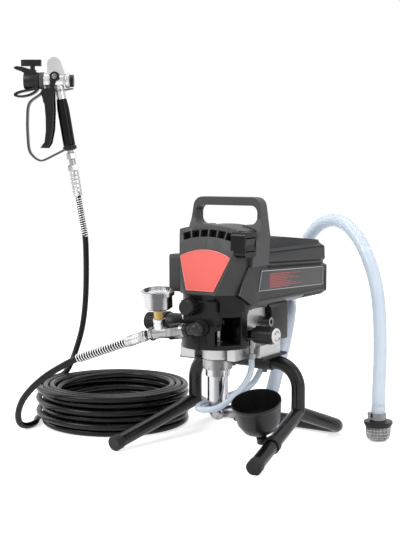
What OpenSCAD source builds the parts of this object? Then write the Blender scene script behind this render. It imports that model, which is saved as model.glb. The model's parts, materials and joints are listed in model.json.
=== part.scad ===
/* [Stand] */
// Outside diameter of the stand tubes
tube_d = 25; // [18:0.5:30]
// Height of the cross tube's axis above the floor
cross_z = 148; // [142:1:150]
// Distance of the cross tube behind the pump axis
cross_y = 97; // [90:1:105]
// Half the distance between the two upright legs
leg_x = 111; // [105:1:125]
// Bend radius of the legs, on the tube's axis
leg_bend = 45; // [40:1:48]
// Height of the point where leg and foot tubes meet
apex_z = 60; // [52:1:66]
// Half the distance between the front feet
front_x = 143; // [120:1:160]
// Distance of the front feet ahead of the pump axis
front_y = 116; // [90:1:150]
// Half the distance between the rear feet
rear_x = 133; // [112:1:150]
// Distance of the rear feet behind the pump axis
rear_y = 214; // [190:1:240]
// Wall of the stand tubes
tube_wall = 2; // [1.2:0.1:4]
// Wall of the rubber foot caps
cap_wall = 1.2; // [0.8:0.1:2]

/* [Base] */
// Half width of the machine's base plate
base_x = 76; // [68:1:80]
// Thickness of the base plate
base_t = 4; // [3:0.5:5]
// Height of the underside of the cast pump body
casting_z = 165; // [164.6:0.1:168]
// Height of the cast pump body's foot
casting_h = 22; // [18:1:26]

/* [Pump] */
// Diameter of the pump cylinder
pump_d = 37; // [32:0.5:40]
// Diameter of the cylinder's upper step
pump_step_d = 44; // [40:0.5:48]
// Diameter of the clamp collar under the casting
collar_d = 53; // [50:0.5:56]
// Height of the clamp collar
collar_h = 20; // [16:1:22]
// Height of the cylinder's lower end above the floor
pump_z = 88; // [84:1:94]
// Diameter of the piston rod
rod_d = 20; // [16:0.5:24]
// Stroke of the piston
stroke = 16; // [10:1:18]
// Running clearance on the radius of rods and shafts
run_fit = 0.05; // [0.02:0.01:0.1]

/* [Housing] */
// Radius of the round front of the gear housing
house_r = 62; // [60:0.5:64]
// Distance from the pump axis to the gear housing's back
house_y = 145; // [135:1:150]
// Height of the joint between gear housing and front cover
split_z = 283; // [280:1:286]
// Lower edge of the motor shroud
shroud_z = 255; // [252:1:258]
// Half width of the motor shroud
shroud_x = 66; // [60:1:68]
// Distance from the pump axis to the shroud's back
shroud_y = 290; // [270:1:300]
// Height of the shroud's top at its front
shroud_top = 382; // [374:1:386]
// Half width of the front cover
cover_x = 66; // [62:1:68]
// Height of the front cover's top
cover_top = 398; // [394:1:402]
// Number of air slots over the front plate
vent_n = 6; // [4:1:8]
// Number of slots in the rear grille
grille_n = 9; // [6:1:10]

/* [Handle] */
// Height of the top of the carry handle
handle_top = 450; // [440:1:460]
// Thickness of the handle's grip bar
grip_t = 15; // [12:0.5:18]
// Depth of the grip bar from front to back
grip_w = 24; // [20:1:28]

/* [Fluid end] */
// Diameter of the gauge's case
gauge_d = 50; // [44:1:54]
// Diameter of the gauge's rim
gauge_rim = 58; // [56:1:62]
// Diameter of the pressure knob's grip
knob_d = 31; // [26:1:34]
// Length of the pressure knob
knob_l = 22; // [18:1:24]
// Number of grip ribs on each knob
knob_ribs = 14; // [8:1:18]
// Diameter of the prime valve's knob
prime_d = 31; // [26:1:34]
// Diameter of the filter cap
filter_d = 32; // [28:1:36]

/* [Hoses] */
// Outside diameter of the pressure hose
hose_d = 12.4; // [11:0.1:12.5]
// Outside diameter of the siphon hose
siphon_d = 25; // [22:0.5:26]
// Outside diameter of the drain hose
drain_d = 11; // [9:0.5:12]
// Radius of the coil's outer loops, on the hose's axis
coil_r = 148.8; // [148:0.1:150]
// Loops in each layer of the coil
coil_m = 3; // [2:1:3]
// Layers of the coil
coil_n = 6; // [2:2:6]
// Distance between neighbouring loops
coil_p = 13; // [13:0.1:13.2]
// Wire diameter of the hose springs
wire_d = 2; // [1.5:0.1:2.2]
// Curls in the spring at the machine
spring_n1 = 20; // [10:1:24]
// Curls in the spring at the gun
spring_n2 = 18; // [10:1:20]

/* [Drip cup] */
// Diameter of the cup's rim
cup_d = 86; // [80:1:90]
// Height of the cup along its axis
cup_h = 78; // [70:1:84]
// Wall of the cup
cup_wall = 2; // [1.5:0.5:3]

/* [Gun] */
// Diameter of the gun's nose
nose_d = 32; // [30:0.5:34]
// Diameter of the gun's handle at its lower end
grip_d = 25; // [22:0.5:27]
// Width of the trigger
trigger_w = 37; // [36:0.5:40]
// Width of the trigger guard's strap
guard_w = 14; // [10:1:18]

/* [Hidden] */
$fn = 48;

// The model is drawn about the pump's axis. The part's origin lies on the floor
// under the middle of machine and gun.
org_x = -197.6;
org_y = 92.8;
eps = 0.05;

// Stand
tr = tube_d / 2;
cap_d = tube_d + 2 * cap_wall;
bend_x = leg_x - leg_bend;
foot_z = cap_d / 2 - 0.6;
apex_r = [leg_x, cross_y, apex_z];
front_r = [front_x, -front_y, foot_z];
rear_r = [rear_x, rear_y, foot_z];
sleeve_x0 = 24;
sleeve_l = 34;
sleeve_d = tube_d + 6;
base_top = casting_z;
base_bot = casting_z - base_t;

// Pump and its drive
casting_top = casting_z + casting_h;
flange_d = collar_d + 4;
crank_z = 262;
throw = stroke / 2;
crank_d = 36;
crank_y = 12;
crank_t = 9;
shaft_d = 12;
rod_l = 34;
rod_w = 9;
rod_swing = asin(throw / rod_l);
wrist_z = crank_z - rod_l * cos(rod_swing);
cavity_d = 50;
window_a = 54;
nut_z = casting_top + 0.1;
nut_h = 9;

// Outlet line: elbow, collar, nut and tee lie on one axis that falls to the left
elbow = [8, -82, 227];
run_a = 10;
disc_s = 17;
nut_s = 31;
tee_s = 58;
tee_e = 98;
tee_d = 19;
tee_p = elbow + tee_e * [-cos(run_a), 0, -sin(run_a)];
hose_a = 20;
ferrule_l = 52;
ferrule_d = 20;
u_hose = [-cos(hose_a) * cos(4), -cos(hose_a) * sin(4), -sin(hose_a)];
ferrule_e = tee_p + (ferrule_l + 2) * u_hose;
spring_l1 = 114;
spring_d = hose_d + 2 * wire_d + 0.9;
tee_c = elbow + 78 * [-cos(run_a), 0, -sin(run_a)];
gauge_tilt = [8, 3, 0];
stem_z = 10.5;
case_z = 45;
case_h = 27;

// Upper body
shroud_y0 = 52.1;
cover_r = cover_x + 2;
face_lean = 16;
vent_arc = 36;
vent_r = (cover_top - split_z) / cos(face_lean) + 60;
vent_w = (vent_r - 10) * vent_arc / vent_n * PI / 180 - 2.6;
handle_x = 70;
strap_z = 330;
box_t = 12;
box_w = 40;
box_h = 44;
box_y = -19;
box_z = 370;

// Knob, filter and prime valve
knob_x = -13;
knob_z = 262;
knob_y = -64.3;
filter_y = -36;
filter_z = 226;
filter_x = -100;
plate_x = 52;
foot_x = 50;
foot_y = 30;
prime_y = 16;
prime_z = 210;
collar_l = 17;
prime_l = 33;
disc_l = 8;
spigot_x = 60;
spigot_z = 166;
sensor = [62, 227];

// Drip cup
cup_tip = [111, -34, 36];
cup_v = [2, -25, 74];

// Gun, drawn with its nose towards -X, then turned and lifted into place
gun_o = [-464, 126, 680];
gun_turn = 32.9;
lean = 9.2;
grip_top = [3, 0, -38];
grip_l = 106;
nut_l = 30;
ferrule2_l = 66;
spring_l2 = 86;
pivot = [-9, 0, 8];
tip_x = -56;
lane = [sin(lean), 0, -cos(lean)];
grip_end = grip_top + grip_l * lane;
nut_end = grip_end + nut_l * lane;
ferrule2_e = nut_end + ferrule2_l * lane;

// Routes of the hoses, in millimetres from the pump's axis and the floor
coil_c = [-290, 75];
coil_start = 205;
coil_end = coil_m * coil_n + 0.055;
supply_pts = [
    [-276, -100, 137], [-306, -108, 118], [-335, -114, 94], [-359, -117, 67],
    [-375, -112, 40], [-382, -102, 19], [-384, -87, 9], [-384, -70, 6.4],
    [-388, -52, 6.2], [-399, -34, 6.2]];
gun_pts = [
    [-440, 105, 76], [-437, 114, 88], [-434, 124, 106], [-431, 134, 130],
    [-427, 143, 160], [-424, 149, 196], [-422, 152, 236], [-421, 153, 278],
    [-421, 153, 320]];
siphon_pts = [
    [20, 24, 66], [30, 36, 66], [41, 55, 65], [47, 78, 67], [48, 102, 76],
    [44, 124, 94], [42, 142, 120], [42, 158, 148], [40, 176, 176], [34, 198, 200],
    [22, 226, 218], [6, 260, 228], [-12, 292, 233], [-24, 318, 246], [-26, 330, 274],
    [-18, 334, 306], [-4, 333, 338], [16, 326, 368], [44, 316, 390], [78, 302, 399],
    [114, 288, 390], [147, 275, 362], [175, 260, 322], [196, 246, 274], [208, 233, 220],
    [216, 219, 164], [220, 208, 116], [220, 206, 90], [220, 206, 66]];
drain_pts = [
    [60, 16, 165.9], [60, 16, 150], [58, 12, 136], [51, 3, 118], [38, -14, 98], [20, -28, 82],
    [-2, -34, 76], [-24, -26, 74], [-35, -4, 75], [-31, 20, 78], [-14, 38, 84],
    [6, 54, 92], [16, 78, 98], [18, 104, 110], [20, 128, 134], [20, 150, 162],
    [16, 174, 186], [8, 204, 206], [-8, 238, 219]];

// Vector helpers
function unit(v) = v / norm(v);
function turn_to(v) = [0, acos(unit(v)[2]), atan2(v[1], v[0])];

module place() {
    translate([-org_x, -org_y, 0]) children();
}

// A round bar from p to q, lengthened by ext behind p and fwd past q
module bar(p, q, d, ext = 0, fwd = 0) {
    translate(p) rotate(turn_to(q - p)) translate([0, 0, -ext])
        cylinder(d = d, h = norm(q - p) + ext + fwd);
}

module cyl_x(x0, x1, d) {
    translate([x0, 0, 0]) rotate([0, 90, 0]) cylinder(d = d, h = x1 - x0);
}

module cyl_y(y0, y1, d) {
    translate([0, y0, 0]) rotate([-90, 0, 0]) cylinder(d = d, h = y1 - y0);
}

// A hexagonal bar, w across its flats
module hex(w, h) {
    cylinder(d = w / cos(30), h = h, $fn = 6);
}

// A flat rectangle with round corners, centred
module round_rect(w, h, r) {
    square([w - 2 * r, h], center = true);
    square([w, h - 2 * r], center = true);
    for (x = [-1, 1], y = [-1, 1])
        translate([x * (w / 2 - r), y * (h / 2 - r)]) circle(r);
}

// A plate drawn in x and z, standing from y0 to y1
module slab_y(y0, y1) {
    translate([0, y1, 0]) rotate([90, 0, 0]) linear_extrude(y1 - y0) children();
}

// A plate drawn in y and z, standing from x0 to x1
module slab_x(x0, x1) {
    translate([x0, 0, 0]) rotate([90, 0, 90]) linear_extrude(x1 - x0) children();
}

// Grip of a knob, with ribs round it, from z = 0 to l
module ribbed(d, l, n) {
    cylinder(d = d - 3, h = l);
    for (i = [0 : n - 1]) rotate(i * 360 / n)
        translate([d / 2 - 2.2, -1.4, 0]) cube([2.2, 2.8, l - 1.5]);
}

// Rings of a round tube along a list of points, each frame carried on from the last
function tangents(p) = [for (i = [0 : len(p) - 1])
    unit(p[min(i + 1, len(p) - 1)] - p[max(i - 1, 0)])];
function carried(n, t) = unit(n - (n * t) * t);
function frames(t, n0) = [for (i = 0, n = carried(n0, t[0]); i < len(t);
    i = i + 1, n = carried(n, t[min(i, len(t) - 1)])) n];
module tube(p, d, sides, n0 = [1, 2, 3]) {
    t = tangents(p);
    n = frames(t, n0);
    m = len(p);
    pts = [for (i = [0 : m - 1]) for (j = [0 : sides - 1])
        p[i] + d / 2 * (cos(j * 360 / sides) * n[i] + sin(j * 360 / sides) * cross(t[i], n[i]))];
    side = [for (i = [0 : m - 2]) for (j = [0 : sides - 1]) for (k = [0, 1])
        let (a = i * sides + j, b = i * sides + (j + 1) % sides)
        k == 0 ? [a, b, b + sides] : [a, b + sides, a + sides]];
    ends = [for (j = [1 : sides - 2]) for (k = [0, 1])
        k == 0 ? [0, j + 1, j] : [(m - 1) * sides, (m - 1) * sides + j, (m - 1) * sides + j + 1]];
    polyhedron(points = pts, faces = [for (f = concat(side, ends)) [f[2], f[1], f[0]]]);
}

// The pile of loops: each layer spirals in or out at a steady rate, and the hose climbs
// to the next layer in the half turn where the spiral reverses
coil_z0 = hose_d / 2 + 0.05;
function clamp01(v) = min(1, max(0, v));
function coil_rad(t) = let (l = floor(min(t, coil_m * coil_n - 0.0001) / coil_m), u = t - l * coil_m)
    coil_r - coil_p * (l % 2 == 0 ? u : coil_m - u);
function sum(v, i = 0) = i < len(v) ? v[i] + sum(v, i + 1) : 0;
function coil_h(t) = coil_z0 + coil_p * sum([for (k = [1 : 1 : coil_n - 1])
    clamp01((t - k * coil_m + 0.25) / 0.5)]);
function coil_at(t) = let (a = coil_start - 360 * t)
    [coil_c[0] + coil_rad(t) * cos(a), coil_c[1] + coil_rad(t) * sin(a), coil_h(t)];
function coil_dir(a) = [sin(a), -cos(a), 0];
coil_steps = ceil(coil_end * 24);
coil_mid = [for (i = [0 : coil_steps]) coil_at(coil_end * i / coil_steps)];
coil_a = coil_mid[0] - hose_d * coil_dir(coil_start);
coil_b = coil_mid[coil_steps] + hose_d * coil_dir(coil_start - 360 * coil_end);
coil_pts = concat([coil_a], coil_mid, [coil_b]);
// Least distance between two loops, half a turn or more apart along the hose
coil_gap = min([for (i = [0 : coil_steps - 12]) min([for (j = [i + 12 : coil_steps])
    norm(coil_mid[i] - coil_mid[j])])]) - hose_d;
echo(coil_gap = coil_gap);

// A spring of n curls on the axis from p along v, its end curls closed up
function spring_pts(n, l, d) = [for (i = [0 : n * 8])
    [d / 2 * cos(i * 45), d / 2 * sin(i * 45), wire_d / 2 + (l - wire_d) * i / (n * 8)]];
spring_gap = min((spring_l1 - wire_d) / spring_n1, (spring_l2 - wire_d) / spring_n2) - wire_d;
echo(spring_gap = spring_gap);
module spring(n, l) {
    tube(spring_pts(n, l, spring_d - wire_d), wire_d, 6, [1, 0, 0]);
}

// ---- Stand ----
module foot_tube(a, b, back) {
    difference() {
        bar(a, b, tube_d, 20);
        bar(a, b, tube_d - 2 * tube_wall, 21, 1);
        translate([a[0] - 60, back ? cross_y - 60 + eps : cross_y - eps, 0])
            cube([120, 60, 140]);
    }
}

module tube_ring() {
    difference() {
        circle(d = tube_d);
        circle(d = tube_d - 2 * tube_wall);
    }
}

module leg(s) {
    a = [s * apex_r[0], apex_r[1], apex_r[2]];
    difference() {
        union() {
            translate([s * bend_x, cross_y, cross_z - leg_bend]) rotate([90, 0, 0])
                mirror([s < 0 ? 1 : 0, 0, 0]) rotate_extrude(angle = 90)
                    translate([leg_bend, 0]) tube_ring();
            translate([s * leg_x, cross_y, apex_z]) linear_extrude(cross_z - leg_bend - apex_z)
                tube_ring();
        }
        bar(a, [s * front_x, -front_y, foot_z], tube_d + 4 * eps, 25);
        bar(a, [s * rear_x, rear_y, foot_z], tube_d + 4 * eps, 25);
    }
}

module foot_cap(a, b) {
    v = unit(b - a);
    intersection() {
        difference() {
            translate(b - 12 * v) rotate(turn_to(v)) cylinder(d = cap_d, h = 15);
            bar(a, b, tube_d + 2 * eps);
        }
        translate([b[0] - 30, b[1] - 30, 0]) cube([60, 60, 60]);
    }
}

module cross_tube() {
    a = [-bend_x, cross_y, cross_z];
    b = [bend_x, cross_y, cross_z];
    color("#262628") place() difference() {
        bar(a, b, tube_d);
        bar(a, b, tube_d - 2 * tube_wall, 1, 1);
    }
}

module tube_sleeves() {
    color("#38393b") place() for (s = [-1, 1]) mirror([s < 0 ? 1 : 0, 0, 0]) difference() {
        union() {
            translate([0, cross_y, cross_z]) cyl_x(sleeve_x0, sleeve_x0 + sleeve_l, sleeve_d);
            translate([sleeve_x0, cross_y - sleeve_d / 2, cross_z])
                cube([sleeve_l, sleeve_d, sleeve_d / 2]);
        }
        translate([0, cross_y, cross_z])
            cyl_x(sleeve_x0 - 1, sleeve_x0 + sleeve_l + 1, tube_d + 2 * eps);
        translate([sleeve_x0 - 1, cross_y - sleeve_d, base_bot - eps])
            cube([sleeve_l + 2, 2 * sleeve_d, sleeve_d]);
        translate([sleeve_x0 + sleeve_l / 2, cross_y, 0]) cylinder(d = 8, h = cross_z);
    }
}

module legs() {
    color("#262628") place() for (s = [-1, 1]) leg(s);
}

module front_feet() {
    color("#262628") place() for (s = [0, 1]) mirror([s, 0, 0])
        foot_tube(apex_r, front_r, false);
}

module rear_feet() {
    color("#262628") place() for (s = [0, 1]) mirror([s, 0, 0])
        foot_tube(apex_r, rear_r, true);
}

module foot_caps() {
    color("#1e1e20") place() for (s = [0, 1]) mirror([s, 0, 0]) {
        foot_cap(apex_r, front_r);
        foot_cap(apex_r, rear_r);
    }
}

// Screws up through the sleeves into the cross tube, heads below
module sleeve_bolts() {
    color("#8d8f92") place() for (s = [-1, 1])
        translate([s * (sleeve_x0 + sleeve_l / 2), cross_y, cross_z - sleeve_d / 2]) {
            translate([0, 0, -5]) hex(10, 5);
            translate([0, 0, -0.01]) cylinder(d = 7.9, h = sleeve_d / 2 - tr - 0.1);
        }
}

// ---- Drip cup on its bracket ----
module cup_axis() {
    translate(cup_tip) rotate(turn_to(cup_v)) children();
}

module drip_cup() {
    r = cup_d / 2;
    color("#2a2a2c") place() cup_axis() rotate_extrude() polygon([
        [0, 0], [7, 0], [7, 11], [r * 0.68, 26], [r * 0.86, 40], [r - 1, cup_h - 6],
        [r, cup_h - 5], [r, cup_h], [r - cup_wall, cup_h], [r - 1 - cup_wall, cup_h - 7],
        [r * 0.86 - cup_wall, 41], [r * 0.68 - cup_wall, 26 + cup_wall], [5, 12 + cup_wall],
        [5, 3], [0, 3]]);
}

// A clip round the foot tube with a cup for the drip cup's neck
foot_v = unit(front_r - apex_r);
clip_s = (cross_y - cup_tip[1]) / -foot_v[1];
clip_p = apex_r + clip_s * foot_v;
module cup_bracket() {
    color("#232325") place() difference() {
        union() {
            translate(clip_p) rotate(turn_to(foot_v)) translate([0, 0, -6])
                cylinder(d = tube_d + 5, h = 12);
            cup_axis() translate([0, 0, -3]) cylinder(d = 18, h = 11);
        }
        bar(apex_r, front_r, tube_d + 2 * eps);
        cup_axis() cylinder(d = 14 + 2 * eps, h = 30);
    }
}

// ---- Base and pump ----
module base_plate() {
    color("#1b1b1c") place() difference() {
        translate([0, 55, base_bot]) linear_extrude(base_t - eps) round_rect(2 * base_x, 138, 8);
        translate([0, 0, base_bot - 1]) cylinder(d = collar_d + 1, h = base_t + 2);
        translate([-collar_d / 2 - 0.5, -40, base_bot - 1]) cube([collar_d + 1, 40, base_t + 2]);
        translate([foot_x, -40, base_bot - 1]) cube([40, 40 + foot_y, base_t + 2]);
    }
}

// Cast aluminium body: foot, pump flange and the upright wall behind the prime valve
module pump_casting() {
    color("#c9c9c6") place() difference() {
        union() {
            translate([0, 44, casting_z]) linear_extrude(casting_h)
                round_rect(2 * base_x - 12, 136, 12);
            translate([0, 0, casting_z]) cylinder(d = flange_d, h = casting_h);
            slab_x(plate_x - 7, plate_x) difference() {
                union() {
                    translate([3, casting_top - 1]) square([76, 58]);
                    translate([13, casting_top]) square([66, 65]);
                    translate([13, casting_top + 55]) circle(10);
                }
                translate([72, casting_top + 30]) square([20, 16]);
            }
        }
        // room for the drain spigot
        translate([foot_x, -60, casting_z - 1]) cube([40, 60 + foot_y, casting_h + 2]);
        translate([-34, -60, casting_z - 1]) difference() {
            cube([68, 60, casting_h + 2]);
            translate([34, 60, -1]) cylinder(d = flange_d, h = casting_h + 4);
        }
        translate([0, 0, casting_z - 1]) cylinder(d = pump_d + 2 * eps, h = casting_h + 2);
    }
}

module pump_collar() {
    color("#b5b5b4") place() difference() {
        union() {
            translate([0, 0, casting_z - collar_h]) cylinder(d = collar_d - 3, h = collar_h - eps);
            translate([0, 0, casting_z - collar_h + 2])
                cylinder(d = collar_d, h = collar_h - 4);
        }
        translate([0, 0, casting_z - collar_h - 1])
            cylinder(d = pump_d + 2 * eps, h = collar_h + 2);
        for (a = [0 : 45 : 315]) rotate(a) translate([collar_d / 2 - 2, -3, casting_z - collar_h - 1])
            cube([6, 6, 6]);
    }
}

module pump_cylinder() {
    color("#d6d6d8") place() difference() {
        union() {
            translate([0, 0, pump_z]) cylinder(d = pump_d, h = casting_top - pump_z);
            translate([0, 0, casting_z - collar_h - 12]) cylinder(d = pump_step_d, h = 12 - eps);
        }
        translate([0, 0, pump_z + 12]) cylinder(d = rod_d + 2 * run_fit, h = casting_top);
    }
}

module inlet_valve() {
    v = [20, 24, 0];
    color("#a8a9ab") place() {
        translate([0, 0, 74]) cylinder(d = 32, h = pump_z - 74 - eps);
        translate([0, 0, 66]) {
            sphere(d = 28);
            cylinder(d = 24, h = 9);
        }
        difference() {
            bar([0, 0, 66], [0, 0, 66] + v, 22);
            translate([20, 24, 66] - 0.05 * unit(v)) rotate(turn_to(v)) cylinder(d = 40, h = 10);
        }
    }
}

module packing_nut() {
    color("#b98d3e") place() translate([0, 0, nut_z]) difference() {
        hex(36, nut_h);
        translate([0, 0, -1]) cylinder(d = rod_d + 2 * run_fit, h = nut_h + 2);
    }
}

module piston_rod() {
    color("#dcdcde") place() difference() {
        union() {
            translate([0, 0, pump_z + 12 + stroke + 1])
                cylinder(d = rod_d, h = wrist_z - 12 - (pump_z + 12 + stroke + 1));
            translate([-9, -11, wrist_z - 13]) cube([18, 22, 7]);
            for (s = [-1, 1]) translate([0, s * 8.5, wrist_z]) {
                cyl_y(-2.5, 2.5, 18);
                translate([-9, -2.5, -9]) cube([18, 5, 9]);
            }
        }
        translate([0, 0, wrist_z]) cyl_y(-20, 20, 8 - 2 * eps);
        translate([0, 0, wrist_z]) cyl_y(-5.7, 5.7, 19);
    }
}

// The rod between piston and crank, with the wrist pin through its small end
module connecting_rod() {
    color("#8f9194") place() translate([0, 0, wrist_z]) rotate([0, rod_swing, 0]) {
        cyl_y(-10.5, 10.5, 8 - 2 * eps - 2 * run_fit);
        cyl_y(-rod_w / 2, rod_w / 2, 15);
        translate([-5, -rod_w / 2, 0]) cube([10, rod_w, rod_l - 6]);
        translate([0, 0, rod_l]) {
            cyl_y(-rod_w / 2, rod_w / 2, 21);
            cyl_y(-rod_w / 2 - 2, rod_w / 2, 10);
        }
    }
}

// Crank disc and its shaft; the pin ends 0.3 mm short of the connecting rod
module crank() {
    color("#6d6f73") place() translate([0, 0, crank_z]) {
        cyl_y(crank_y, crank_y + crank_t, crank_d);
        translate([throw, 0, 0]) cyl_y(rod_w / 2 + 0.3, crank_y + 1, 10);
        cyl_y(crank_y + crank_t - 1, crank_y + crank_t + 24, shaft_d);
    }
}

// ---- Gear housing ----
module house_plan(r, y1) {
    circle(r, $fn = 96);
    translate([-r, 0]) square([2 * r, y1]);
}

module gear_housing() {
    z0 = casting_top + eps;
    color("#343536") place() difference() {
        union() {
            translate([0, 0, z0]) linear_extrude(shroud_z - z0 - eps) house_plan(house_r, house_y);
            translate([0, 0, shroud_z - 1]) linear_extrude(split_z - shroud_z + 1 - eps)
                intersection() {
                    cover_plan(-1);
                    union() {
                        circle(house_r, $fn = 96);
                        translate([38, -80]) square([60, 126]);
                        translate([-80, 0]) square([160, 46]);
                    }
                }
            // raised lobe at the lower left
            intersection() {
                translate([0, 0, z0]) cylinder(r = house_r + 3, h = 44, $fn = 96);
                slab_y(-90, 0) {
                    translate([-65, z0]) square([52, 38]);
                    translate([-65, z0]) square([66, 24]);
                    translate([-12, z0 + 24]) circle(14);
                }
            }
            // sill under the name plate
            translate([0, 0, split_z - 12]) intersection() {
                cylinder(r1 = house_r, r2 = house_r + 4, h = 12 - eps, $fn = 96);
                translate([-40, -80, 0]) cube([80, 80, 12]);
            }
            // shelf above the knob
            slab_y(-house_r - 2, -30) polygon([[-30, 233], [37, 229], [35, 272], [-36, 272]]);
        }
        translate([0, 0, z0 - 1]) cylinder(d = cavity_d, h = 70);
        translate([-crank_d / 2 - 4, 0, crank_z - crank_d / 2 - 4])
            cube([crank_d + 8, crank_y + crank_t + 1, 60]);
        translate([-20, -20, crank_z - 10]) cube([40, 40, 40]);
        translate([0, 0, crank_z]) cyl_y(crank_y, crank_y + crank_t + 27, shaft_d + 2 * run_fit);
        // window towards the front right corner
        rotate(window_a) slab_y(-80, -10) translate([0, casting_top + 8])
            polygon([[-28, 0], [19, 0], [19, 49], [-16, 49], [-18, 27], [-28, 25]]);
        // pressure control shaft
        translate([knob_x, 0, knob_z]) cyl_y(-80, -45, 8 + 2 * run_fit);
        // outlet port
        translate([elbow[0], 0, elbow[2]]) cyl_y(-80, -50, 20 + 2 * eps);
        // arch on the right side, round the cast wall
        slab_x(plate_x - 7 - eps, house_r + 5) {
            translate([-2, z0 - 1]) square([86, 56]);
            translate([12, z0]) square([58, 68]);
            translate([12, z0 + 54]) circle(14);
            translate([70, z0 + 54]) circle(14);
        }
    }
}

// ---- Upper body ----
// The front cover is an upright round column, cut by a face that leans back
module cover_plan(g) {
    intersection() {
        union() {
            circle(cover_r + g, $fn = 96);
            translate([-cover_x - g, 0]) square([2 * (cover_x + g), 46]);
        }
        translate([-cover_x - g, -90]) square([2 * (cover_x + g), 136]);
    }
}

// Curved top of the cover, seen from the front
module crown(g) {
    intersection() {
        translate([-cover_x - g, split_z - 30])
            square([2 * (cover_x + g), cover_top - split_z + 34 + g]);
        translate([0, split_z - 120]) circle(cover_top - split_z + 124 + g, $fn = 96);
    }
}

// Outline of the red plate: an arched top over a narrower foot
module plate_face(g) {
    intersection() {
        polygon([[-28 - g, 289 - g], [28 + g, 289 - g], [51.5 + g, 349], [51.5 + g, 375],
            [-51.5 - g, 375], [-51.5 - g, 349]]);
        translate([0, 255]) circle(108 + g, $fn = 96);
    }
}

module on_face() {
    translate([0, -61, split_z]) rotate([-face_lean, 0, 0]) translate([0, 0, -split_z]) children();
}

module front_cover() {
    color("#2b2c2e") place() difference() {
        intersection() {
            translate([0, 0, split_z]) linear_extrude(cover_top - split_z + 4) cover_plan(0);
            slab_y(-80, 60) crown(0);
        }
        on_face() translate([-90, -90, split_z - 30]) cube([180, 90, 200]);
        on_face() slab_y(-5, 1.2) plate_face(0.2);
        // air slots in a row under the arched edge
        on_face() translate([0, -6, split_z - 60]) for (i = [0 : vent_n - 1])
            rotate([0, (i - (vent_n - 1) / 2) * vent_arc / vent_n, 0])
                translate([-vent_w / 2, 0, vent_r - 16.5]) cube([vent_w, 22, 13]);
    }
}

module front_plate() {
    color("#e8594e") place() on_face() slab_y(-1, 1.15) plate_face(0);
}

// Loop handle whose legs run down the sides of the cover as straps
module handle_outline() {
    r = 18;
    c = handle_x - r;
    polygon(concat([[-74, strap_z], [-77, 384]],
        [for (a = [180 : -15 : 90]) [-c + r * cos(a), handle_top - r + r * sin(a)]],
        [for (a = [90 : -15 : 0]) [c + r * cos(a), handle_top - r + r * sin(a)]],
        [[77, 384], [74, strap_z]]));
}

module carry_handle() {
    y1 = shroud_y0 - eps;
    y0 = box_y + box_w / 2 + 0.4;
    in_top = handle_top - grip_t;
    in_bot = cover_top + 3;
    color("#2e2f31") place() difference() {
        intersection() {
            slab_y(-10, y1) handle_outline();
            slab_x(-95, 95) polygon([[y1 - grip_w, handle_top + 1], [y1, handle_top + 1],
                [y1, strap_z], [-6, strap_z], [-6, 347], [y0, 348], [y0, 372], [20, 392],
                [y1 - grip_w - 2, 412]]);
        }
        slab_y(-20, y1 + 10) {
            translate([0, (in_bot + in_top) / 2])
                round_rect(2 * handle_x - 12, in_top - in_bot, 13);
            translate([-36, 320]) square([72, 100]);
            crown(eps);
        }
    }
}

module shroud_plan() {
    t = shroud_top;
    polygon([[-50, t], [50, t], [58, t - 8], [58, t - 26], [shroud_x - 1, t - 32],
        [shroud_x, t - 64], [shroud_x - 4, t - 68], [shroud_x - 4, t - 72], [shroud_x + 4, t - 76],
        [shroud_x + 4, shroud_z + 8], [shroud_x - 6, shroud_z], [6 - shroud_x, shroud_z],
        [-shroud_x - 4, shroud_z + 8], [-shroud_x - 4, t - 76], [4 - shroud_x, t - 72],
        [4 - shroud_x, t - 68], [-shroud_x, t - 64], [1 - shroud_x, t - 32], [-58, t - 26],
        [-58, t - 8]]);
}

module motor_shroud() {
    color("#313234") place() difference() {
        union() {
            slab_y(shroud_y0, shroud_y) shroud_plan();
            // cheek that runs forward past the front cover, shorter on the left
            slab_x(cover_x + eps, shroud_x + 4) polygon([[-40, split_z], [-12, strap_z - 0.1],
                [shroud_y0 + 1, strap_z - 0.1], [shroud_y0 + 1, shroud_z], [0, shroud_z + 8]]);
            slab_x(-shroud_x - 4, -cover_x - eps) polygon([[21, shroud_z + 6], [21, strap_z - 0.1],
                [shroud_y0 + 1, strap_z - 0.1], [shroud_y0 + 1, shroud_z]]);
            slab_y(46 + eps, shroud_y0 + 1) polygon([[-cover_x - 1, shroud_z],
                [cover_x + 1, shroud_z], [cover_x + 1, strap_z - 0.1],
                [-cover_x - 1, strap_z - 0.1]]);
        }
        // top falls towards the back
        translate([-80, 60, shroud_top]) rotate([-5.2, 0, 0]) cube([160, 260, 40]);
        // rear corner
        translate([-80, shroud_y, shroud_top - 34]) rotate([45, 0, 0]) cube([160, 40, 40]);
        // grille opening
        translate([0, 0, 308]) slab_y(shroud_y - 22, shroud_y + 5) round_rect(96, 62, 8);
        // air slots in the lower edge
        for (s = [-1, 1], i = [0 : 4]) translate([s * (shroud_x - 1), 204 + 16 * i, shroud_z + 4])
            cube([14, 10, 9], center = true);
        // bare panel on the right side
        slab_x(shroud_x + 3.2, shroud_x + 6) polygon([
            [22, shroud_z + 14], [shroud_y - 6, shroud_z + 14], [shroud_y - 6, 302], [34, 302]]);
        // flat for the cord gland
        translate([-52, 0, 268]) cyl_y(shroud_y - 8, shroud_y + 1, 14 + 2 * eps);
    }
}

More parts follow.
